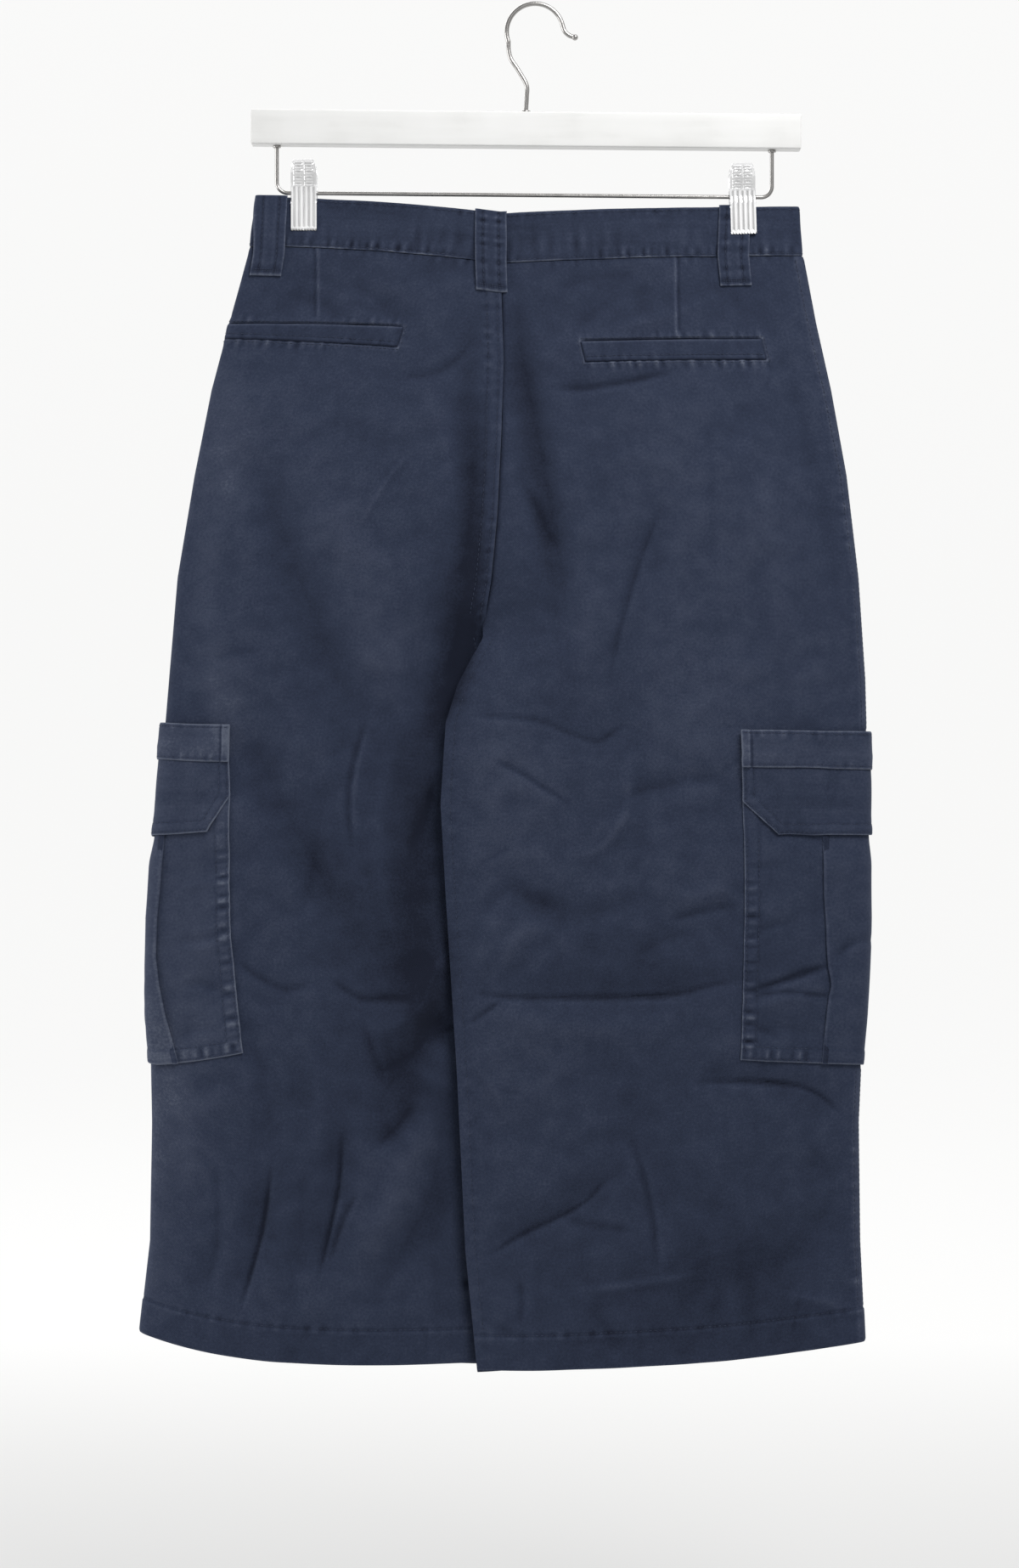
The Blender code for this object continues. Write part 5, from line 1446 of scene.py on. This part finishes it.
def makePocketBand(skin):
    side = skin["side"]
    look = band
    strip = look["endStrip"]
    half = look["half"]
    seed = look["seed"][side]
    drops = spaced(look["top"], look["bottom"], 1.3)
    inner = -half + strip + 2.0
    distances = np.concatenate((spaced(-half, inner, 0.8), rowsAt((inner, 0.0, 1.6))[1:]))
    distances = np.concatenate((distances, -distances[-2::-1]))

    def relief(drop, distance):
        fromEnd = half - np.abs(distance)
        fromTop, fromBottom = drop - look["top"], look["bottom"] - drop
        near = np.minimum(np.minimum(fromTop, fromBottom), fromEnd)
        end = smooth((strip - fromEnd) / 0.9 + 0.5)
        ripples = pucker(distance, fromBottom - 2.4, 6.5, 2.4, 0.22, seed)
        ripples = ripples + pucker(distance, fromTop - 2.6, 7.2, 2.8, 0.26, seed + 1.0)
        streak = bell(fromBottom - 8.5, 2.6) * (0.7 + 0.3 * np.sin(distance / 13.0 + seed))
        grooves = bell(fromTop - 2.0, 0.6) + bell(fromBottom - 2.0, 0.6)
        lift = look["lift"] + 0.7 * end + ripples * (1.0 - end) - 0.45 * bell(near, 0.7) - 0.18 * grooves
        lift = lift - 0.5 * bell(fromEnd - strip - 0.6, 0.7) + 0.3 * streak
        # painted light and shade on the ripples, painted shade in the grooves and a painted shadow beside the
        # folded end strip; worn pale edges, and a pale streak
        tone = 0.50 * ripples + 0.13 * streak + 0.40 * bell(near - 0.25, 0.55) + 0.05 * end - 0.08 * grooves
        tone = tone + 0.20 * bell(fromEnd - strip + 0.5, 0.5) - 0.36 * bell(fromEnd - strip - 0.5, 0.8)
        return lift, tone

    makeSheet(skin, "cargoBand", drops, np.broadcast_to(distances, (len(drops), len(distances))), relief,
              look)
    for row in (look["top"] + 2.0, look["bottom"] - 2.0):
        stitchRun(skin, (row, row), (1.0 - half, half - 1.0), relief, "trims")


# waistband, belt loops and button

waistband = {
    "wall": 1.7, "finish": "trim", "seed": {"left": 21.0, "right": 24.0},
    "height": 32.0, "underlap": 2.3, "underlapWidth": 38.0, "columnStep": 1.35,
}


def bandSurface(side):
    seed = waistband["seed"][side]

    def relief(drop, distance):
        fromTop = drop + waistband["height"]
        fromBottom = -drop
        ripples = pucker(distance, fromBottom - 3.0, 5.7, 3.4, 0.50, seed)
        ripples = ripples + pucker(distance, fromTop - 2.2, 6.6, 2.4, 0.24, seed + 1.0)
        ripples = ripples + pucker(distance, fromBottom - 11.0, 8.9, 8.0, 0.24, seed + 2.0)
        slack = 0.35 * np.sin(distance / 26.0 + seed) * bell(fromTop - 16.0, 11.0)
        near = np.minimum(fromTop, fromBottom)
        grooves = bell(fromTop - 1.9, 0.6) + bell(fromBottom - 1.9, 0.7)
        lift = 0.15 + ripples + slack - 0.55 * bell(near, 0.8) - 0.16 * grooves
        frayed = 0.42 + 0.16 * np.sin(distance / 11.0 + seed) + 0.10 * np.sin(distance / 3.1 + 2.0 * seed)
        # painted light and shade on the ripples and the slack, painted shade in the stitch grooves; worn pale
        # edges, frayed at the bottom
        tone = 0.46 * ripples + 0.16 * bell(fromTop - 0.3, 0.6) + frayed * bell(fromBottom - 0.5, 0.75)
        return lift, tone - 0.10 * grooves + 0.05 * slack

    return relief


def makeWaistband(skins):
    look = waistband
    drops = spaced(-look["height"], -leg["gap"], 1.7)
    parts = []
    for side, sign, start in (("left", -1.0, 0.0), ("right", 1.0, 400.0)):     # along its cloth map
        skin = skins[side]
        total = float(edgeAt(skin, 0.0, "front") + edgeAt(skin, 0.0, "back"))
        shares = np.linspace(0.0, 1.0, int(total / look["columnStep"]))
        first, last = edgeAt(skin, drops, "front")[:, None], -edgeAt(skin, drops, "back")[:, None]
        if side == "right":
            first, last, shares = last, first, shares[1:]
        distance = mix(first, last, shares)
        drop = np.broadcast_to(drops[:, None], distance.shape)
        points, normals, foldShade = skinAt(skin, drop, distance)
        lift, tone = bandSurface(side)(drop, distance)
        parts.append([points + normals * lift[..., None], tone + foldShade, sign * distance + start, drop])
    left = skins["left"]
    under = np.linspace(0.0, 1.0, 22) * look["underlapWidth"]
    distance = edgeAt(left, drops, "front")[:, None] - under
    drop = np.broadcast_to(drops[:, None], distance.shape)
    points, normals, _ = skinAt(left, drop, distance)
    points = points - normals * look["underlap"]
    parts[1][0][:, -1] = points[:, 0]
    tail = points, np.zeros(drop.shape), 800.0 + under + 0.0 * distance, drop
    parts.append([values[:, 1:] for values in tail])
    points, tone, running, drop = (np.concatenate(values, axis=1) for values in zip(*parts))
    clothPiece("waistBand", points, np.stack((running, -drop), axis=2), 0.45 + tone, look, False,
               node="waistband")
    for side, skin in skins.items():
        for row in (1.9 - look["height"], -1.9):
            back, front = edgeAt(skin, row, "back"), edgeAt(skin, row, "front")
            stitchRun(skin, (row, row), (1.0 - back, front - 1.5), bandSurface(side), "trims")


loop = {
    "wall": 1.0, "finish": "trim",
    "width": 20.4, "foot": 18.7, "lift": 1.6, "arch": 1.4, "tuck": 0.9, "seam": 5.2,
    "backFromSeam": 32.0, "frontFromSeam": 68.0, "centreShift": -6.5,
    # how far inwards the back loops' top and foot lie
    "inward": {"left": (-0.8, 4.9), "right": (1.4, 6.3)},
}


def makeLoop(name, across, arch, seed, mirrored):
    # across gives points and normals, as skinAt does, for drops and places over the loop's width
    look = loop
    height = waistband["height"]
    drops = spaced(-height, look["foot"], 1.3)
    places = spaced(0.0, look["width"], 0.95)
    drop, place = np.meshgrid(drops, places, indexing="ij")
    points, normals, _ = across(drop, place)

    def stand(drop):
        return arch * np.sin(math.pi * (look["foot"] - drop) / (look["foot"] + height))

    def relief(drop, place):
        side = np.minimum(place, look["width"] - place)
        foot = look["foot"] - drop
        grooves = bell(side - look["seam"], 0.9)
        tack = bell(foot - 3.0, 1.4)
        ripples = pucker(drop, side - look["seam"], 6.0, 3.0, 0.32, seed)
        # painted light and shade on the ripples, painted shade in the stitch grooves and at the bar tack;
        # worn pale ridges
        return (0.25 * smooth((5.0 - side) / 1.5) - 0.20 * grooves + ripples - 0.25 * tack,
                0.6 * ripples - 0.26 * grooves - 0.30 * tack + 0.12 * bell(side - 7.0, 1.2))

    def sewLoop(drops, places, kind):
        fine = np.linspace(0.0, 1.0, 200)
        drop, place = (np.interp(fine, np.linspace(0.0, 1.0, len(line)), line) for line in (drops, places))
        points, normals, _ = across(drop, place)
        points = points + normals * (look["lift"] + stand(drop) + relief(drop, place)[0] + 0.1)[:, None]
        sewAlong(points, normals, "trims", kind, 0.0)

    extra, tone = relief(drop, place)
    fromSide = np.minimum(place, look["width"] - place)
    fromFoot = look["foot"] - drop
    lift = look["lift"] + stand(drop) + extra - 0.45 * bell(fromSide, 0.7) - 0.5 * bell(fromFoot, 0.7)
    tone = 0.46 + tone + 0.40 * bell(fromSide - 0.3, 0.7) + 0.46 * bell(fromFoot - 0.5, 0.8)
    # over the band's top edge and in behind it
    over = []
    for share in (0.0, 0.25, 0.5, 0.75):
        outward = mix(-look["tuck"], lift[0][:, None], math.sin(share * math.pi / 2))
        upward = np.array((0.0, 0.0, leg["gap"] + look["wall"])) * math.cos(share * math.pi / 2) ** 0.5
        over.append(points[0] + normals[0] * outward + upward)
    body = np.concatenate((np.array(over), points + normals * lift[..., None]))
    tone = np.concatenate((np.repeat(tone[:1] + 0.12, len(over), axis=0), tone))
    downs = np.concatenate((-height - np.linspace(4.0, 1.0, len(over)), drops))
    alongDown = np.stack(np.broadcast_arrays(places + seed * 40.0, -downs[:, None]), axis=2)
    clothPiece(name, body, alongDown, tone, look, mirrored)

    for place in (look["seam"], look["width"] - look["seam"]):
        sewLoop((look["foot"] - 4.5, 1.0 - height), (place, place), "plain")
    for step in (2.0, 3.0, 4.0):
        foot = look["foot"] - step
        sewLoop((foot, foot), (2.0, look["width"] - 2.0), "tack")


def makeLoops(skins):
    look = loop

    def onFront(side):
        return lambda drop, place: skinAt(skins[side], drop, look["frontFromSeam"] + place)

    def onBack(side):
        def across(drop, place):
            top, foot = look["inward"][side]
            share = (drop + waistband["height"]) / (look["foot"] + waistband["height"])
            distance = -look["backFromSeam"] + (place - look["width"]) - mix(top, foot, share)
            return skinAt(skins[side], drop, distance)
        return across

    def onCentre(drop, place):
        offset = place - look["width"] / 2 + look["centreShift"]
        left, right = (skinAt(skins[side], drop, part - edgeAt(skins[side], drop, "back")) for side, part in
                       (("left", -np.minimum(offset, 0.0)), ("right", np.maximum(offset, 0.0))))
        points = np.where((offset < 0.0)[..., None], left[0], right[0])
        normals = mix(left[1], right[1], smooth(offset / 6.0 + 0.5)[..., None])
        return points, normals / np.linalg.norm(normals, axis=-1, keepdims=True), right[2]

    makeLoop("beltLoopCentreBack", onCentre, look["arch"], 1.0, False)
    for side in sides:
        mirrored = side == "left"
        makeLoop("beltLoopBack" + side.capitalize(), onBack(side), look["arch"] if mirrored else 0.0,
                 2.0 + mirrored, mirrored)
        makeLoop("beltLoopFront" + side.capitalize(), onFront(side), look["arch"], 4.0 + mirrored, mirrored)


def finishHard(piece, name, finish, node=None, angle=35.0):
    pick(piece)
    piece.name = name
    bpy.ops.object.transform_apply(location=True, rotation=True, scale=True)
    bpy.ops.object.shade_smooth_by_angle(angle=math.radians(angle))
    finishPiece(piece, finish)
    if node:
        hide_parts(node)


waistButton = {
    "fromEdge": 19.0, "seat": 0.5, "radius": 9.0, "thickness": 2.6, "rim": 2.2, "dish": 0.9,
    "holeRadius": 0.75, "holeAway": 1.5, "threadRadius": 0.42,
}


def makeButton(skin):
    # a turned disc with a raised rim, a dished middle and four sewn holes
    look = waistButton
    drop = -waistband["height"] / 2
    points, normals, _ = skinAt(skin, drop, edgeAt(skin, drop, "front") - look["fromEdge"])
    thick, away = look["thickness"], look["holeAway"]
    bpy.ops.object.select_all(action="DESELECT")
    bpy.ops.mesh.primitive_cylinder_add(vertices=64, radius=look["radius"] * mm, depth=thick * mm,
                                        location=(0.0, 0.0, thick / 2 * mm))
    button = bpy.context.object
    bpy.ops.object.transform_apply(location=True)
    bpy.ops.object.mode_set(mode="EDIT")
    bpy.ops.mesh.select_mode(type="FACE")
    bpy.ops.mesh.select_all(action="DESELECT")
    bpy.ops.object.mode_set(mode="OBJECT")
    for face in button.data.polygons:
        face.select = face.normal.z > 0.9
    bpy.ops.object.mode_set(mode="EDIT")
    bpy.ops.mesh.inset(thickness=look["rim"] * mm)
    bpy.ops.mesh.inset(thickness=0.7 * mm, depth=-look["dish"] * mm)
    bpy.ops.mesh.select_all(action="SELECT")
    bpy.ops.object.mode_set(mode="OBJECT")
    applyModifier("BEVEL", width=0.6 * mm, segments=3, limit_method="ANGLE")
    holes = []
    for x, y in ((away, away), (-away, away), (away, -away), (-away, -away)):
        bpy.ops.mesh.primitive_cylinder_add(vertices=20, radius=look["holeRadius"] * mm, depth=thick * 3 * mm,
                                            location=(x * mm, y * mm, thick / 2 * mm))
        holes.append(bpy.context.object)
    for hole in holes:
        pick(button)
        applyModifier("BOOLEAN", operation="DIFFERENCE", object=hole)
        bpy.data.objects.remove(hole)
    parts = [(button, "waistButton", "button", "waist_button")]
    for y, name in ((away, "buttonThreadUpper"), (-away, "buttonThreadLower")):
        bpy.ops.mesh.primitive_torus_add(major_radius=away * mm, minor_radius=look["threadRadius"] * mm,
                                         major_segments=24, minor_segments=8,
                                         rotation=(math.pi / 2, 0.0, 0.0),
                                         location=(0.0, y * mm, (thick - look["dish"]) * mm))
        sewing = bpy.context.object
        sewing.scale = (1.0, 0.55, 1.0)
        bpy.ops.object.transform_apply(location=True, rotation=True, scale=True)
        parts.append((sewing, name, "thread"))
    for piece, *saying in parts:
        piece.rotation_mode = "QUATERNION"
        piece.rotation_quaternion = Vector(normals).to_track_quat("Z", "Y")
        piece.location = (points + normals * look["seat"]) * mm
        finishHard(piece, *saying)


# hanger

hanger = {
    "barSize": (355.0, 12.0, 22.5), "barCentre": (-5.8, 0.0, -80.4), "barTilt": math.radians(0.53),
    "barEdge": 1.1,
    "hookWire": 3.0, "hookRadius": 18.3,
    "hookStem": [(-6.0, 68.9), (-5.4, 59.0), (-5.6, 51.0), (-11.3, 40.8), (-15.4, 34.6), (-17.0, 29.0)],
    "hookTip": [(19.2, 16.4), (22.0, 19.0), (25.8, 20.3)],
    "railWire": 2.6, "railX": (-166.8, 153.1), "railBelow": (120.9, 123.7), "railBend": 7.0,
    "clipX": {"left": -149.2, "right": 133.9}, "clipLean": {"left": 0.0, "right": 0.03},
    "clipWidth": 16.5, "clipAbove": 20.5, "clipBelow": 25.0, "clipSplay": 8.6, "clipWall": 0.9,
    "clipGrip": {"left": (3.0, 3.0), "right": (4.6, 3.0)},
    "springRadius": 2.9, "springWidth": 9.0, "springTurns": 5, "springWire": 1.2,
}


def railBelow(x):
    return np.interp(x, hanger["railX"], hanger["railBelow"])


def barFace(x, side):
    tilt = hanger["barTilt"]
    half = hanger["barSize"][2] / 2.0 * side
    return -hanger["barCentre"][2] + half / math.cos(tilt) + math.tan(tilt) * (x - hanger["barCentre"][0])


def makeWire(name, route, thickness):
    # round wire along points in millimetres
    bpy.ops.object.select_all(action="DESELECT")
    bpy.ops.curve.primitive_nurbs_path_add()
    wire = bpy.context.object
    wire.data.splines.clear()
    spline = wire.data.splines.new("POLY")
    spline.points.add(len(route) - 1)
    for point, place in zip(spline.points, route):
        point.co = (*(value * mm for value in place), 1.0)
    wire.data.bevel_depth = thickness / 2 * mm
    wire.data.bevel_resolution = 5
    wire.data.use_fill_caps = True
    bpy.ops.object.convert(target="MESH")
    finishHard(wire, name, "steel", nodeOf(name), 50.0)


def arcPoints(centre, radius, start, end, steps):
    angles = np.radians(np.linspace(start, end, steps + 1))
    return [(centre[0] + radius * math.cos(a), centre[1] - radius * math.sin(a)) for a in angles]


def inPlane(route):
    return [(x, 0.0, -below) for x, below in route]


def makeRing(name, at, radius, height):
    # a small collar round a wire, its edges rounded over
    bpy.ops.object.select_all(action="DESELECT")
    bpy.ops.mesh.primitive_cylinder_add(vertices=40, radius=radius * mm, depth=height * mm,
                                        location=[value * mm for value in at])
    ring = bpy.context.object
    applyModifier("BEVEL", width=0.35 * height * mm, segments=4)
    finishHard(ring, name, "steel")


def makeBar():
    look = hanger
    bpy.ops.object.select_all(action="DESELECT")
    bpy.ops.mesh.primitive_cube_add(size=1.0)
    bar = bpy.context.object
    bar.scale = [value * mm for value in look["barSize"]]
    bpy.ops.object.transform_apply(scale=True)
    editAll(bpy.ops.mesh.subdivide, number_cuts=3)
    applyModifier("BEVEL", width=look["barEdge"] * mm, segments=5, limit_method="ANGLE")
    bar.rotation_euler = (0.0, look["barTilt"], 0.0)
    bar.location = [value * mm for value in look["barCentre"]]
    finishHard(bar, "hangerBar", "paint", "hanger_bar")


def makeHook():
    look = hanger
    centre = (0.0, look["hookRadius"] - look["hookWire"] / 2)
    bow = arcPoints(centre, look["hookRadius"], 200.0, 12.0, 90)
    stem = list(look["hookStem"])
    stem[0] = (stem[0][0], barFace(stem[0][0], -1.0) - 0.2)
    start = [tuple(point) for point in curveThrough(stem + [bow[0]], 12)[0]]
    tip = [tuple(point) for point in curveThrough([bow[-1]] + look["hookTip"], 12)[0]]
    makeWire("hangerHook", inPlane(start[:-1] + bow + tip[1:]), look["hookWire"])
    end = look["hookTip"][-1]
    bpy.ops.mesh.primitive_uv_sphere_add(segments=32, ring_count=20, radius=2.0 * mm,
                                         location=(end[0] * mm, 0.0, -end[1] * mm))
    finishHard(bpy.context.object, "hookTip", "steel", angle=60.0)
    makeRing("hookCollar", (stem[0][0], 0.0, -stem[0][1] + 0.4), 3.2, 1.5)


def makeRail():
    look = hanger
    (left, right), bend = look["railX"], look["railBend"]
    route = [(left, barFace(left, 1.0) + 0.2)]
    route += arcPoints((left + bend, railBelow(left) - bend), bend, 180.0, 270.0, 14)
    route += arcPoints((right - bend, railBelow(right) - bend), bend, 270.0, 360.0, 14)
    route.append((right, barFace(right, 1.0) + 0.2))
    makeWire("hangerRail", inPlane(route), look["railWire"])
    for name, x in (("railCollarLeft", left), ("railCollarRight", right)):
        makeRing(name, (x, 0.0, -barFace(x, 1.0) - 0.9), 2.6, 1.5)


def makeJaw(side, facing, grip):
    # one pressed plate: chequered finger grip, ribbed jaw, toothed lip and ears at the rail
    look = hanger
    centre, lean = look["clipX"][side], look["clipLean"][side]
    above, bottom, splay = look["clipAbove"], look["clipBelow"], look["clipSplay"]
    seat = look["springRadius"] + 0.3
    downs = rowsAt((-above, -4.0, 0.31), (-4.0, -2.4, 0.4), (-2.4, bottom - 3.6, 1.2),
                   (bottom - 3.6, bottom, 0.36))
    down, share = np.meshgrid(downs, np.linspace(-0.5, 0.5, 59), indexing="ij")
    profile = [(-above, splay), (-0.6 * above, 0.8 * splay), (-0.25 * above, seat + 0.8), (0.0, seat),
               (0.15 * bottom, max(seat, grip)), (0.6 * bottom, max(seat, grip)), (0.95 * bottom, grip),
               (bottom, grip)]
    away = np.interp(down, *zip(*profile))
    aside = np.abs(share)
    grooves = sum(bell(share - place, 0.034) for place in (-0.38, -0.19, 0.0, 0.19, 0.38))
    grooves *= smooth((down + 4.0) / 0.8) * smooth((bottom - 2.4 - down) / 0.6)
    row = (down + 18.4) / 3.5
    block = smooth((0.17 - np.abs(aside - 0.21)) / 0.035) * (row > 0.0) * (row < 4.0)
    notch = bell(row % 1.0 - 0.22, 0.10) + 0.9 * bell(row % 1.0 - 0.66, 0.15) * bell(aside - 0.21, 0.11)
    # painted shade: darker in the grooves and the grip's notches, darkest along the lip
    tone = 1.0 - 0.95 * grooves - 0.95 * block * unit(notch)
    tone = np.clip(tone - 0.6 * smooth((down - bottom + 1.7) / 0.8), 0.03, 1.0)
    ears = smooth((aside - 0.45) / 0.03) * smooth((6.5 - np.abs(down)) / 1.5)
    lip = smooth((down - bottom + 1.6) / 1.6)
    away = away - 0.5 * grooves + 0.5 * block * (1.0 - notch) - 1.7 * ears + 0.3 * lip
    narrow = 1.0 - 0.10 * smooth((-down - 15.0) / 5.5)
    rounded = 2.2 * unit((aside - 0.40) / 0.10) ** 2 * smooth((-down - 12.0) / 8.0)
    teeth = 0.55 * np.abs(np.sin(math.pi * share * 9.0)) * smooth((down - bottom + 2.0) / 2.0)
    x = share * look["clipWidth"] * narrow
    z = -(down + rounded - teeth)
    points = np.stack((centre + x * math.cos(lean) - z * math.sin(lean), facing * away,
                       -railBelow(centre) + z * math.cos(lean) + x * math.sin(lean)), axis=2)
    name = "clip" + side.capitalize() + ("BackJaw" if facing < 0 else "FrontJaw")
    piece, row, column = gridObject(name, points, facing > 0)
    giveTone(piece, tone[row, column])
    applyModifier("SOLIDIFY", thickness=look["clipWall"] * mm, offset=1.0)
    finishHard(piece, name, "chrome", nodeOf(name), 40.0)


def makeSpring(side):
    look = hanger
    turns = np.linspace(0.0, look["springTurns"] * 2 * math.pi, look["springTurns"] * 22)
    run = look["springWidth"] - 1.3
    x = look["clipX"][side] - run / 2 + run * turns / turns[-1]
    radius = look["springRadius"] - 0.62
    route = [(px, radius * math.cos(t), -railBelow(px) + radius * math.sin(t)) for px, t in zip(x, turns)]
    makeWire("clip" + side.capitalize() + "Spring", route, look["springWire"])


# everything in order

makeStudio()
finishes = {
    "twill": makeTwill("twillNavy", twillLook),
    "trim": makeTwill("twillNavyTrim", trimLook),
    "thread": makeThread("threadNavy", thread["colour"]),
    "button": makeButtonFinish("buttonNavy"),
    "paint": makePaint("whitePaint"),
    "steel": makeMetal("brightWire", metals["steel"], False),
    "chrome": makeMetal("chromePlate", metals["chrome"], True),
}
print("finishes ready")

skins = {side: makeSkin(side) for side in sides}
print("skin ready")

for skin in skins.values():
    makePanel(skin, "back")
    makePanel(skin, "front")
    makeWelt(skin)
    makeHandPocket(skin)
print("panels ready")

for skin in skins.values():
    turned = dict(skin, turned=True)
    makeCargoPocket(turned)
    makeFlap(turned)
    makePocketBand(turned)
print("cargo pockets ready")

makeFly(skins["left"])
makeWaistband(skins)
makeLoops(skins)
makeButton(skins["left"])
makeThreads("seams", "seamStitches")
makeThreads("trims", "trimStitches")
print("waistband, loops and stitches ready")

makeBar()
makeHook()
makeRail()
for side in sides:
    makeJaw(side, -1.0, hanger["clipGrip"][side][0])
    makeJaw(side, 1.0, hanger["clipGrip"][side][1])
    makeSpring(side)
print("hanger ready")

for name, (width, length, area) in sorted(cuts.items()):
    print("cut of", name, width, "x", length, "mm,", area, "square mm")
